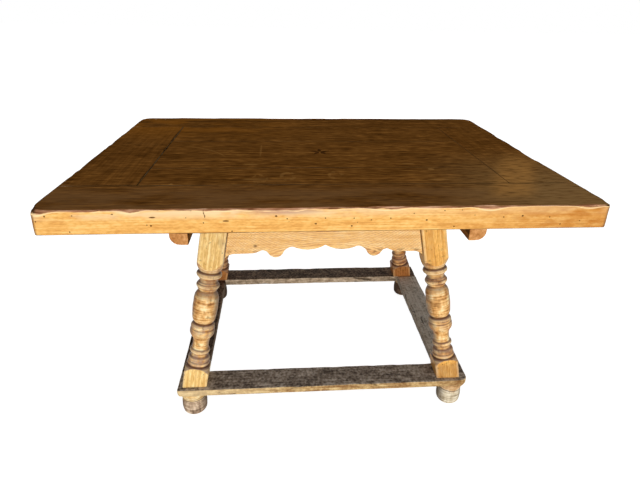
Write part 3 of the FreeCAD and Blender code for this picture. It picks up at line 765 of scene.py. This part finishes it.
def foot_look(name, bun_tones, cup_tones):
    """Dry worn wood: pale golden under the stretcher, partly as painted light on the front left foot, greyer
    towards the floor, with turner's rings, painted shade on the bun's sides and pale worn ridges with painted
    highlights.
    """
    n, grain, place = new_look(name)
    fine = n.noise(grain, (18.0, 120.0, 120.0), 4.0)
    rings = n.noise(grain, (240.0, 14.0, 14.0), 3.0)
    blotch = n.noise(place, (44.0, 44.0, 44.0), 4.0)
    tone = n.weighted((fine, 0.30), (rings, 0.36), (blotch, 0.34))
    cup = n.ramp(tone, (0.40, 0.50, 0.60), cup_tones)
    bun = n.ramp(tone, (0.41, 0.50, 0.59), bun_tones)
    # Painted shade on the bun's sides that face across X
    bun = n.tint(bun, (100, 80, 66), n.attribute("side_shade"), 0.6)
    depth = n.weighted((n.attribute("depth_share"), 1.0), (blotch, 0.24))
    colour = n.mix(n.step(depth, *foot_cup_shares), bun, cup)
    # Ridges: worn pale, with painted highlights
    colour = n.tint(colour, (232, 202, 156), n.attribute("wear"), 0.5)
    colour = n.tint(colour, (72, 52, 36), n.attribute("grime"), 0.85)
    pits = n.most(n.holes(place, *foot_worm), n.product(n.cracks(grain, 7.0, 60.0, 0.016, 0.4), 0.7))
    colour = n.tint(colour, (62, 46, 32), pits)
    return n.finish(colour, n.weighted((fine, 0.6), (rings, 0.6), (pits, -2.0)), *foot_surface)


def cleat_look():
    """Brown oiled wood with a warmer sawn end."""
    n, grain, place = new_look("cleat_look")
    fine = n.noise(grain, (6.0, 150.0, 150.0), 4.0)
    figure = n.noise(grain, (3.0, 34.0, 34.0), 3.0, 0.6)
    tone = n.weighted((fine, 0.5), (figure, 0.5))
    tone_places = (0.36, 0.50, 0.64)
    long_side = n.ramp(tone, tone_places, ((66, 40, 16), (104, 64, 28), (146, 94, 44)))
    sawn = n.ramp(tone, tone_places, ((168, 108, 56), (198, 138, 80), (222, 166, 108)))
    colour = n.mix(n.attribute("sawn"), long_side, sawn)
    pits = n.holes(place, *cleat_worm)
    colour = n.tint(colour, (50, 30, 14), pits)
    return n.finish(colour, n.weighted((fine, 0.8), (pits, -1.5)), *cleat_surface)


def small_piece_look(name, *tones):
    """Plain straight-grained wood of a peg, pin or inlay, in a dark and a pale tone."""
    n = Shader(bpy.data.materials.new(name))
    place = n.place()
    fine = n.noise(place, (420.0, 420.0, 60.0), 4.0)
    blotch = n.noise(place, (60.0, 60.0, 60.0), 3.0)
    colour = n.ramp(n.weighted((fine, 0.6), (blotch, 0.4)), (0.36, 0.64), tones)
    return n.finish(colour, fine, *small_surface)


# Pieces


def piece(name, points, faces, attributes, material, slot, *nodes):
    """New smooth mesh in place of nodes of the frame."""
    mesh = bpy.data.meshes.new(name)
    mesh.from_pydata(points.tolist(), [], faces)
    for key, values in attributes.items():
        kind, field = ("FLOAT_VECTOR", "vector") if values.ndim == 2 else ("FLOAT", "value")
        mesh.attributes.new(key, kind, "POINT").data.foreach_set(field, values.astype(np.float32).ravel())
    mesh.shade_smooth()
    mesh.materials.append(material)
    made = bpy.data.objects.new(name, mesh)
    scene.collection.objects.link(made)
    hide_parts(*nodes)
    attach(made, "root")
    return made


def grain_of(local, pith, seed, bow=0.0):
    """Place in a log with its grain along the first axis, and distance from its pith, which may bow.

    Each seed takes its wood from another place in the log.
    """
    shift = np.array([seed * 3.7 % 5, seed * 1.3 % 3, seed * 0.7 % 2])
    ring = np.hypot(local[:, 1] - pith[0], local[:, 2] - pith[1] + bow * local[:, 0] ** 2)
    return {"grain": local + shift, "ring": ring}


def along_grain(points, grain_axis):
    """Points with the grain's axis, X or Y, as their first."""
    return points[:, (0, 1, 2) if grain_axis == 0 else (1, 0, 2)]


def grid_lines(low, high):
    """Places of grid lines from low to high: close together near both ends, even between."""
    near = [place for place in arris_lines if place < (high - low) * arris_share]
    inner_low, inner_high = low + near[-1], high - near[-1]
    count = max(1, round((inner_high - inner_low) / board_step))
    even = np.linspace(inner_low, inner_high, count + 1)[1:-1]
    return np.concatenate([low + np.array(near), even, high - np.array(near[::-1])])


def lattice_box(low, high):
    """Points and quads of a closed box whose faces are cut along grid lines."""
    lines = [grid_lines(low[axis], high[axis]) for axis in range(3)]
    counts = tuple(len(line) for line in lines)
    shell = np.zeros(counts, bool)
    for axis in range(3):
        np.moveaxis(shell, axis, 0)[[0, -1]] = True
    index = np.full(counts, -1)
    index[shell] = np.arange(shell.sum())
    points = np.stack(np.meshgrid(*lines, indexing="ij"), -1)[shell]
    quads = []
    for axis, end in itertools.product(range(3), (0, -1)):
        side = np.take(index, end, axis)
        loop = [side[:-1, :-1], side[1:, :-1], side[1:, 1:], side[:-1, 1:]]
        if (end == 0) != (axis == 1):
            loop.reverse()
        quads.append(np.stack(loop, -1).reshape(-1, 4))
    return points, np.concatenate(quads)


def rounded(points, low, high, radius):
    """Box points moved in to arrises of a radius given point by point.

    Also returns how far each point lies round its arris, from 0 to 1, and where it faces: 0 up, 1 sideways,
    2 down. Points deeper than the radius stay where they are and count as facing up.
    """
    radius = radius[:, None]
    in_upper_half = points > (low + high) / 2
    inner = np.where(in_upper_half, np.minimum(points, high - radius), np.maximum(points, low + radius))
    away = points - inner
    length = np.linalg.norm(away, axis=1)
    deep = length < least_length
    length[deep] = 1.0
    turn = 1 - np.abs(away).max(1) / length
    facing = np.arccos(np.clip(away[:, 2] / length, -1, 1)) / (math.pi / 2)
    facing[deep] = 0
    middle_turn = 0.29
    return inner + away / length[:, None] * radius, np.clip(turn / middle_turn, 0, 1), facing


def ease_corner(points, axes, corner, outward, radius):
    """Move points near a corner line in to a round; corner and outward signs are given along two axes."""
    over = np.stack([radius - (corner[i] - points[:, axes[i]]) * outward[i] for i in (0, 1)])
    inside = (over > 0).all(0)
    over = over[:, inside]
    over *= over.max(0) / np.hypot(*over)
    for i in (0, 1):
        points[inside, axes[i]] = corner[i] - outward[i] * (radius - over[i])


def worn_radius(points, along_edge):
    """Radius of the top's outer upper arris: small, with worn stretches, and scoops along the front."""
    wear = layered_noise(along_edge, edge_wear_layers, edge_seed)
    radius = edge_radius + edge_radius_wear * smooth(wear, *wear_limits)
    front = smooth(points[:, 1], -cad_high.y + edge_reach, -cad_high.y + edge_reach / 2)
    for middle, half, depth in front_scoops:
        radius += front * depth * smooth(np.abs(points[:, 0] - middle), half, 0)
    return radius


def fitted_ends(points, joints):
    """Ends of the top: the left one out of square, the right one a little hollow."""
    moved = points.copy()
    left_share = np.clip((joints[0] - points[:, 0]) / (joints[0] - cad_low.x), 0, 1)
    moved[:, 0] += left_share * left_end_skew * (points[:, 1] + cad_high.y) / (2 * cad_high.y)
    right_share = np.clip((points[:, 0] - joints[1]) / (cad_high.x - joints[1]), 0, 1)
    moved[:, 0] -= right_share * right_end_hollow * (1 - (points[:, 1] / cad_high.y) ** 2)
    return moved


def board_arrises(points, low, high, along_edge, seed):
    """Board points moved in to arrises, worn outside and crisp at the seams, and where each of them faces."""
    outer_radius = worn_radius(points, along_edge)
    lower = smooth(points[:, 2], high[2] - upper_edge_depth, low[2] + lower_edge_height)
    outer_radius = outer_radius + (lower_edge_radius - outer_radius) * lower
    seam_wear = smooth(value_noise(along_edge, seam_wear_size, seed), *seam_wear_limits)
    joint_radius = seam_radius + seam_radius_wear * seam_wear
    shaped, facing = points.copy(), np.zeros(len(points))
    limits = np.array([cad_high.x, cad_high.y, 0])
    for at_outside, radius in ((True, outer_radius), (False, joint_radius)):
        far_low = np.where((np.abs(np.abs(low) - limits) < seam_gap) == at_outside, low, low - far_away)
        far_high = np.where((np.abs(np.abs(high) - limits) < seam_gap) == at_outside, high, high + far_away)
        far_low[2], far_high[2] = low[2], high[2]
        moved, _, turned = rounded(points, far_low, far_high, radius)
        shaped += moved - points
        facing = np.maximum(facing, turned)
    return shaped, facing


def close_seams(shaped, points, low, high):
    """Move the sides of a board at its seams out, so that they close below the arrises."""
    below = smooth(points[:, 2], high[2] - seam_closing_depths[0], high[2] - seam_closing_depths[1])
    for axis, limit in enumerate((cad_high.x, cad_high.y)):
        for end, outward in ((low, -1), (high, 1)):
            if abs(abs(end[axis]) - limit) > seam_gap:
                at_side = np.abs(points[:, axis] - end[axis]) < seam_gap / 2
                shaped[at_side, axis] += outward * seam_closing * below[at_side]


def top_board(node, low, high, grain_axis, joints, seed, material):
    """One board of the top with worn outer arrises, tight seams and hand-planed waves."""
    points, quads = lattice_box(low, high)
    along_edge = points * np.array([1, 1, 0])
    shaped, facing = board_arrises(points, low, high, along_edge, seed)
    close_seams(shaped, points, low, high)
    for outward, radius in corner_radii.items():
        ease_corner(shaped, (0, 1), (outward[0] * cad_high.x, outward[1] * cad_high.y), outward, radius)
    to_ends = cad_high.x - np.abs(points[:, 0])
    to_sides = cad_high.y - np.abs(points[:, 1])
    waves = ((to_ends, end_wave_size, end_wave_seed), (to_sides, side_wave_size, side_wave_seed))
    for axis, (inside, size, wave_seed) in enumerate(waves):
        wave = edge_wave * value_noise(along_edge, size, wave_seed) * (1 - smooth(inside, 0, edge_reach))
        shaped[:, axis] -= np.sign(points[:, axis]) * wave
    shaped = fitted_ends(shaped, joints)
    upper = smooth(points[:, 2], low[2] + face_wave_reach, high[2] - face_wave_reach)
    shaped[:, 2] -= face_wave * value_noise(points, face_wave_size, seed + face_wave_seed) * upper
    across = ((low + high) / 2)[1 - grain_axis]
    pith = (across + board_pith_sway * math.sin(seed * 2.1), low[2] - board_pith_depth)
    outer = 1 - smooth(np.minimum(to_ends, to_sides), edge_full_reach, edge_reach)
    attributes = {"side": facing, "outer": outer, **grain_of(along_grain(shaped, grain_axis), pith, seed)}
    return piece("worn_" + node, shaped, quads.tolist(), attributes, material, "top_wood", node)


def top():
    """Seven boards of the top, each from its node's visible limits."""
    names = ("front_board", "back_board", "left_end_board", "right_end_board")
    front, back, left, right = (node_box("top_" + name) for name in names)
    for board in (front, back, left):
        board[0][0] = cad_low.x
    back[1][0] = front[1][0] = cad_high.x
    joints = (left[1][0], right[0][0])
    inner_x = (joints[0] + wide_seam_gap, joints[1] - seam_gap)
    front_y, back_y = front[1][1] + wide_seam_gap, back[0][1] - seam_gap
    bottom, level = front[0][2], front[1][2]
    looks = (top_look("top_board_look", 1.0), top_look("top_end_board_look", 0.45))
    rows = [
        ("top_front_board", front[0], front[1], 0),
        ("top_back_board", back[0], back[1], 0),
        ("top_left_end_board", (left[0][0], front_y, bottom), (left[1][0], back_y, level), 1),
        ("top_right_end_board", (right[0][0], front_y, bottom), (right[1][0], back_y, level), 1),
    ]
    start = front_y
    for name in ("front", "middle", "back"):
        node = "top_panel_" + name + "_board"
        end = back_y if name == "back" else node_box(node)[1][1]
        rows.append((node, (inner_x[0], start, bottom), (inner_x[1], end, level), 0))
        start = end + seam_gap
    for seed, (node, low, high, grain_axis) in enumerate(rows):
        top_board(node, np.array(low), np.array(high), grain_axis, joints, seed, looks[grain_axis])


def plank(node, low, high, grain_axis, radius, seed, material, slot, waves=0.0, shape=None):
    """Sawn board with arrises of a radius given point by point, slightly uneven faces and further shaping."""
    points, quads = lattice_box(low, high)
    shaped, turn, facing = rounded(points, low, high, radius(points))
    middle = (low + high) / 2
    inward = np.sign(middle - shaped) * (np.abs(shaped - middle) > plank_face_share * (high - middle))
    for axis in range(3):
        noise = value_noise(points, plank_wave_size, seed + plank_wave_seed + axis)
        shaped[:, axis] += inward[:, axis] * waves * noise
    if shape:
        shape(shaped)
    pith = (middle[1 - grain_axis] + plank_pith_offset, low[2] - plank_pith_depth)
    along = points[:, grain_axis]
    to_end = np.minimum(along - low[grain_axis], high[grain_axis] - along)
    attributes = {"side": facing, "wear": turn, "sawn": (to_end < sawn_depth).astype(float)}
    attributes.update(grain_of(along_grain(shaped, grain_axis), pith, seed))
    return piece("worn_" + node, shaped, quads.tolist(), attributes, material, slot, node)


def stretchers():
    """Four flat boards of the low frame; the side ones run between the front and back ones."""
    front_low, front_high = node_box("front_stretcher")
    back_low, back_high = node_box("back_stretcher")
    frame_middle = (front_low + front_high + back_low + back_high) / 4
    boxes = {"front": (front_low, front_high, 0), "back": (back_low, back_high, 0)}
    for side in ("left", "right"):
        low, high = node_box(side + "_stretcher")
        low[1], high[1] = front_high[1] + seam_gap / 2, back_low[1] - seam_gap / 2
        boxes[side] = (low, high, 1)
    for seed, (side, (low, high, axis)) in enumerate(boxes.items(), stretcher_seed):

        def radius(points, seed=seed, low=low, high=high, across=1 - axis):
            wear = layered_noise(points, stretcher_wear_layers, seed)
            worn = stretcher_radius + stretcher_radius_wear * smooth(wear, *wear_limits)
            outward = np.sign((low + high)[across] / 2 - frame_middle[across])
            from_middle = (points[:, across] - (low + high)[across] / 2) * outward
            lower = smooth(points[:, 2], high[2] - stretcher_lower_reach, low[2] + stretcher_lower_reach)
            outer_lower = lower * smooth(from_middle, 0, stretcher_outer_reach)
            return worn + (stretcher_lower_radius - worn) * outer_lower

        def eased(points, low=low, high=high):
            ease_corner(points, (0, 1), (low[0], low[1]), (-1, -1), stretcher_left_corner_radius)
            ease_corner(points, (0, 1), (high[0], low[1]), (1, -1), stretcher_right_corner_radius)

        node = side + "_stretcher"
        look = stretcher_look(node + "_look", *stretcher_looks[side])
        shape = eased if side == "front" else None
        plank(node, low, high, axis, radius, seed, look, "stretcher_wood", stretcher_face_wave, shape)


def cleats():
    """Two cleats under the top with a rounded outer lower edge."""
    material = cleat_look()
    underside = node_box("top_front_board")[0][2]

    def radius(points):
        return np.full(len(points), cleat_radius)

    for seed, (side, outward) in enumerate((("left", -1), ("right", 1)), cleat_seed):
        low, high = node_box(side + "_cleat")
        high[2] = underside
        edge = (high if outward > 0 else low)[0]

        def eased(points, outward=outward, edge=edge, bottom=low[2]):
            ease_corner(points, (0, 2), (edge, bottom), (outward, -1), cleat_round_radius)

        plank(side + "_cleat", low, high, 1, radius, seed, material, "cleat_wood", shape=eased)


def rows_of(items, field, width, kind):
    """One field of a mesh's points, edges or loops as rows of numbers."""
    values = np.zeros(len(items) * width, kind)
    items.foreach_get(field, values)
    return values.reshape(-1, width)


def remeshed(node):
    """Points, normals, quads and edges of a fine even mesh over a node's solid."""
    copy = bpy.data.objects.new(node + "_voxels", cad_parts[node].data)
    scene.collection.objects.link(copy)
    remesh = copy.modifiers.new("voxels", "REMESH")
    remesh.mode = "VOXEL"
    remesh.voxel_size = apron_voxel
    relax = copy.modifiers.new("relax", "SMOOTH")
    relax.factor = 0.5
    relax.iterations = relax_rounds
    mesh = bpy.data.meshes.new_from_object(copy.evaluated_get(bpy.context.evaluated_depsgraph_get()))
    points, normals = (rows_of(mesh.vertices, field, 3, float) for field in ("co", "normal"))
    quads = rows_of(mesh.loops, "vertex_index", 1, int).reshape(-1, 4)
    edges = rows_of(mesh.edges, "vertices", 2, int)
    bpy.data.objects.remove(copy)
    bpy.data.meshes.remove(mesh)
    return points, normals, quads, edges


def bulge(points, normals, edges):
    """How far each point stands out from its neighbours: over 0 on ridges, under 0 in grooves."""
    first, second = edges.T
    total = len(points)

    def gathered(at_first, at_second):
        return np.bincount(first, at_first, total) + np.bincount(second, at_second, total)

    run = points[first] - points[second]
    length = np.linalg.norm(run, axis=1)
    count = np.bincount(first, minlength=total) + np.bincount(second, minlength=total)
    at_first = np.einsum("ij,ij->i", run, normals[first]) / length
    at_second = -np.einsum("ij,ij->i", run, normals[second]) / length
    value = gathered(at_first, at_second) / count
    for _ in range(relax_rounds):
        value = 0.5 * value + 0.5 * gathered(value[second], value[first]) / count
    return value


def apart_from_legs(points):
    """Distance of points from the nearest leg's square block, along X or Y."""
    apart = np.full(len(points), far_away)
    for end, side in corners:
        upper, lower = leg_axis(end + "_" + side + "_leg")
        drop = (upper[2] - points[:, 2:3]) / (upper[2] - lower[2])
        away = np.abs(points - upper - drop * (lower - upper))[:, :2].max(1) - leg_half
        apart = np.minimum(apart, away)
    return apart


def carved(node, along, seed, material, slot):
    """Sawn piece remade from its solid, worn on its ridges, with its grain along a direction."""
    points, normals, quads, edges = remeshed(node)
    ridge = bulge(points, normals, edges)
    wear = smooth(ridge, *ridge_bulges)
    depth = apron_wear_depth * wear * value_noise(points, apron_wear_size, seed)
    depth = depth + apron_wave_depth * value_noise(points, apron_wave_size, seed + 1)
    shaped = points - normals * depth[:, None]
    side = np.cross(along, (0.0, 0.0, 1.0))
    low, high = node_box(node)
    local = (shaped - (low + high) / 2) @ np.stack([along, side, np.cross(side, along)], 1)
    joint = 1 - smooth(apart_from_legs(points), *joint_line)
    attributes = {"wear": wear, "grime": smooth(-ridge, *groove_bulges), "joint": joint}
    attributes.update(grain_of(local, apron_pith, seed, apron_grain_bow))
    return piece("worn_" + node, shaped, quads.tolist(), attributes, material, slot, node)


def aprons():
    """Four scalloped aprons between the legs."""
    material = apron_look()
    for seed, side in enumerate(("front", "back", "left", "right"), apron_seed):
        along = np.array([1.0, 0, 0]) if side in ("front", "back") else np.array([0, 1.0, 0])
        carved(side + "_apron", along, seed, material, "leg_wood")


def leg_axis(node):
    """Ends of a leg's axis: the middle of its top and of its base on the stretchers."""
    points = node_points(node)
    ends = []
    for level in (points[:, 2].max(), node_box("front_stretcher")[1][2]):
        at = points[np.abs(points[:, 2] - level) < level_tolerance]
        ends.append((at.min(0) + at.max(0)) / 2)
    return ends


def turned_profile(node, start, along, first, last):
    """Places along the axis of a turned solid, from first to last, and the radius at each of them."""
    points = node_points(node) - start
    place = points @ along
    radius = np.linalg.norm(points - place[:, None] * along, axis=1)
    kept = (place >= first - profile_step) & (place <= last + profile_step)
    step_index = np.round(place[kept] / (profile_step / 4)).astype(int)
    widest = {}
    for index, value in zip(step_index, radius[kept]):
        widest[index] = max(value, widest.get(index, 0))
    marks = np.array(sorted(widest)) * (profile_step / 4)
    return marks, np.array([widest[index] for index in sorted(widest)])


def row_places(first, last, length):
    """Places of the rows of a turned piece: close together on the turning, fewer on the blocks beyond it."""
    ends = np.arange(1, block_row_count + 1) / block_row_count
    turning = np.linspace(first, last, int((last - first) / profile_step))[1:-1]
    rows = np.concatenate([first * (1 - ends[::-1]), turning, last + (length - last) * ends])
    return np.unique(np.clip(np.concatenate([rows, [0.0, first, last, length]]), 0, length))


def row_marks(rows, profile, length):
    """Grime in grooves, wear with painted highlights on ridges, dust with painted shade on slopes that face
    up and grey patina, for each row.
    """
    window = np.ones(2 * profile_window + 1)
    wide = np.convolve(np.pad(profile, profile_window, mode="edge"), window, "valid")
    stand = profile - wide / len(window)
    return {
        "grime": np.where(rows < groove_start_share * length, 0, smooth(-stand, *groove_depths)),
        "wear": smooth(stand, *ridge_heights),
        "dust_and_shade": smooth(np.gradient(profile, rows), *dust_and_shade_slopes),
        "patina": np.interp(rows / length, *zip(*leg_patina_shares)),
    }


def block_reach(rows, to_x, to_y, half, seed):
    """Reach of a square block's faces from its axis; its arrises are crisper in some rows than in others."""
    places = np.stack([rows, rows * 0, rows * 0 + seed], 1)
    crispness = crispness_least + crispness_gain * value_noise(places, crispness_size, seed)[:, None]
    return (half - block_inset) / (to_x ** crispness + to_y ** crispness) ** (1 / crispness)


def turned_piece(node, start, end, half, block_ends, pith, seed, material, slot):
    """Turned piece about an axis, with square blocks of a half width where it has any."""
    start, end = np.array(start), np.array(end)
    length = np.linalg.norm(end - start)
    along = (end - start) / length
    first, last = block_ends[0] * length, block_ends[1] * length
    rows = row_places(first, last, length)
    profile = np.interp(rows, *turned_profile(node, start, along, first, last))
    profile[1:-1] = 0.25 * profile[:-2] + 0.5 * profile[1:-1] + 0.25 * profile[2:]
    around = np.arange(turn_count) * 2 * math.pi / turn_count
    away = np.stack([np.cos(around), np.sin(around), np.zeros(turn_count)], 1)
    to_x, to_y = np.abs(away[:, 0]), np.abs(away[:, 1])
    slant = away @ along
    reach = profile[:, None] / np.sqrt(1 - slant ** 2)[None, :]
    level = np.ones(len(rows))
    facets = np.zeros_like(reach)
    if half:
        level -= smooth(rows, first, first * block_level_shares[0])
        level -= smooth(rows, last, last + (length - last) * block_level_shares[1])
        in_block = ((rows < first) | (rows > last))[:, None]
        flat = block_reach(rows, to_x, to_y, half, seed)
        facets = np.where(in_block, 1.0, flat < reach)
        reach = np.where(in_block, flat, np.minimum(flat, reach))
    axis_points = start + rows[:, None] * along
    path = away[None] - level[:, None, None] * slant[None, :, None] * along
    shaped = axis_points[:, None] + reach[..., None] * path
    depth = layered_noise(shaped.reshape(-1, 3), turning_wave_layers, seed)
    shaped = shaped - path * depth.reshape(reach.shape)[..., None]

    # Marks of the turning and of the blocks; the two points that close the ends have none
    marks = {key: (1 - facets) * values[:, None] for key, values in row_marks(rows, profile, length).items()}
    corner = smooth(np.minimum(to_x, to_y), *corner_limits)
    marks["wear"] = np.maximum(marks["wear"], facets * corner * corner_wear)
    marks["turned"] = 1 - facets
    # Painted shade: turned faces that face across X
    marks["side_shade"] = (1 - facets) * smooth(to_x, *side_shade_limits)
    row_depth = np.broadcast_to(rows[:, None], reach.shape)
    marks["depth_share"] = row_depth / length
    attributes = {key: np.concatenate([values.ravel(), np.zeros(2)]) for key, values in marks.items()}
    local = np.stack([row_depth, reach * away[:, 0], reach * away[:, 1]], -1)
    local = np.concatenate([local.reshape(-1, 3), [[0, 0, 0], [length, 0, 0]]])
    attributes.update(grain_of(local, pith, seed))
    points = np.concatenate([shaped.reshape(-1, 3), axis_points[[0, -1]]])
    return piece("worn_" + node, points, turned_faces(len(rows)), attributes, material, slot, node)


def turned_faces(row_count):
    """Faces between the rows of a turned piece and fans about two last points that close its ends."""
    index = np.arange(row_count * turn_count).reshape(row_count, turn_count)
    after = np.roll(index, -1, axis=1)
    faces = np.stack([index[:-1], index[1:], after[1:], after[:-1]], -1).reshape(-1, 4).tolist()
    middle = row_count * turn_count
    faces += [[middle, a, b] for a, b in zip(index[0], after[0])]
    faces += [[middle + 1, b, a] for a, b in zip(index[-1], after[-1])]
    return faces


def legs():
    """Four splayed turned legs and their feet."""
    looks = {corner: leg_look(corner + "_leg_look", *row) for corner, row in leg_looks.items()}
    feet = {place: foot_look(place + "_foot_look", *row) for place, row in foot_looks.items()}
    for seed, (end, side) in enumerate(corners):
        corner = end + "_" + side
        high, low = leg_axis(corner + "_leg")
        pith = (leg_pith_radius * math.cos(seed * 2.0), leg_pith_radius * math.sin(seed * 2.0))
        node, look = corner + "_leg", looks[corner]
        turned_piece(node, high, low, leg_half, leg_block_ends, pith, leg_seed + seed, look, "leg_wood")
        foot_low, foot_high = node_box(corner + "_foot")
        middle = (foot_low + foot_high) / 2
        upper, lower = (*middle[:2], foot_high[2]), (*middle[:2], 0.0)
        node, look = corner + "_foot", feet[side if end == "front" else end]
        turned_piece(node, upper, lower, 0, (0.0, 1.0), foot_pith, foot_seed + seed, look, "foot_wood")


def small_pieces():
    """Pegs, pins and inlay keep the frame's solids and take a wood of their own."""
    peg_look = small_piece_look("peg_look", (120, 80, 40), (190, 136, 72))
    looks = {"star_inlay": small_piece_look("inlay_look", (50, 28, 9), (74, 43, 15))}
    looks.update({node: peg_look for node in ("apron_pegs", "top_pins", "top_frame_pegs")})
    for node, material in looks.items():
        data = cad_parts[node].data
        if not data.materials:
            data.materials.append(material)
        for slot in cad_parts[node].material_slots:
            slot.material = material


# Floor, light and camera


def seen_rays(n):
    """1 for rays from the camera and for those that show in gloss and glass."""
    path = n.tree.nodes.new("ShaderNodeLightPath").outputs
    seen = n.most(path["Is Camera Ray"], path["Is Glossy Ray"])
    return n.most(seen, path["Is Transmission Ray"])


def ground():
    """Pale floor that looks white and keeps the table's shadow."""
    n = Shader(bpy.data.materials.new("floor_look"))
    diffuse = n.add("BsdfDiffuse", {"Color": (floor_grey, floor_grey, floor_grey, 1.0)})
    glow = n.add("Emission", {"Color": white, "Strength": n.product(seen_rays(n), floor_glow)})
    n.add("OutputMaterial", {"Surface": n.add("AddShader", {0: diffuse, 1: glow})})
    mesh = bpy.data.meshes.new("floor")
    signs = ((-1, -1), (1, -1), (1, 1), (-1, 1))
    mesh.from_pydata([(x * floor_reach, y * floor_reach, floor_level) for x, y in signs], [], [(0, 1, 2, 3)])
    mesh.materials.append(n.owner)
    floor = bpy.data.objects.new("floor", mesh)
    scene.collection.objects.link(floor)


def surroundings():
    """White surroundings that give little light of their own."""
    n = Shader(bpy.data.worlds.new("surroundings"))
    strength = n.add("MapRange", {"Value": seen_rays(n), "To Min": surroundings_light, "To Max": 1.0})
    n.add("OutputWorld", {"Surface": n.add("Background", {"Color": white, "Strength": strength})})
    scene.world = n.owner


def lamp(name, place, target, size, power):
    """Soft rectangular lamp aimed at a point."""
    data = bpy.data.lights.new(name, "AREA")
    data.shape = "RECTANGLE"
    data.size, data.size_y = size
    data.energy = power
    made = bpy.data.objects.new(name, data)
    made.location = place
    made.rotation_euler = (Vector(target) - Vector(place)).to_track_quat("-Z", "Y").to_euler()
    scene.collection.objects.link(made)


def camera():
    """Camera of the photograph, from its place, its three angles and its focal length in pixels."""
    flat = math.cos(camera_pitch)
    forward = Vector((math.sin(camera_yaw) * flat, math.cos(camera_yaw) * flat, -math.sin(camera_pitch)))
    right = Vector((math.cos(camera_yaw), -math.sin(camera_yaw), 0))
    down = forward.cross(right)
    image_right = right * math.cos(camera_roll) + down * math.sin(camera_roll)
    image_down = down * math.cos(camera_roll) - right * math.sin(camera_roll)
    data = bpy.data.cameras.new("photo_camera")
    data.sensor_fit = "HORIZONTAL"
    data.sensor_width = sensor_width
    data.lens = focal_pixels / image_width * sensor_width
    made = bpy.data.objects.new("photo_camera", data)
    turn = Matrix((image_right, -image_down, -forward)).transposed().to_4x4()
    made.matrix_world = Matrix.Translation(camera_place) @ turn
    scene.collection.objects.link(made)
    scene.camera = made


top()
stretchers()
cleats()
legs()
aprons()
small_pieces()
ground()
surroundings()
for row in lamps:
    lamp(*row)
camera()
scene.view_settings.view_transform = "Standard"
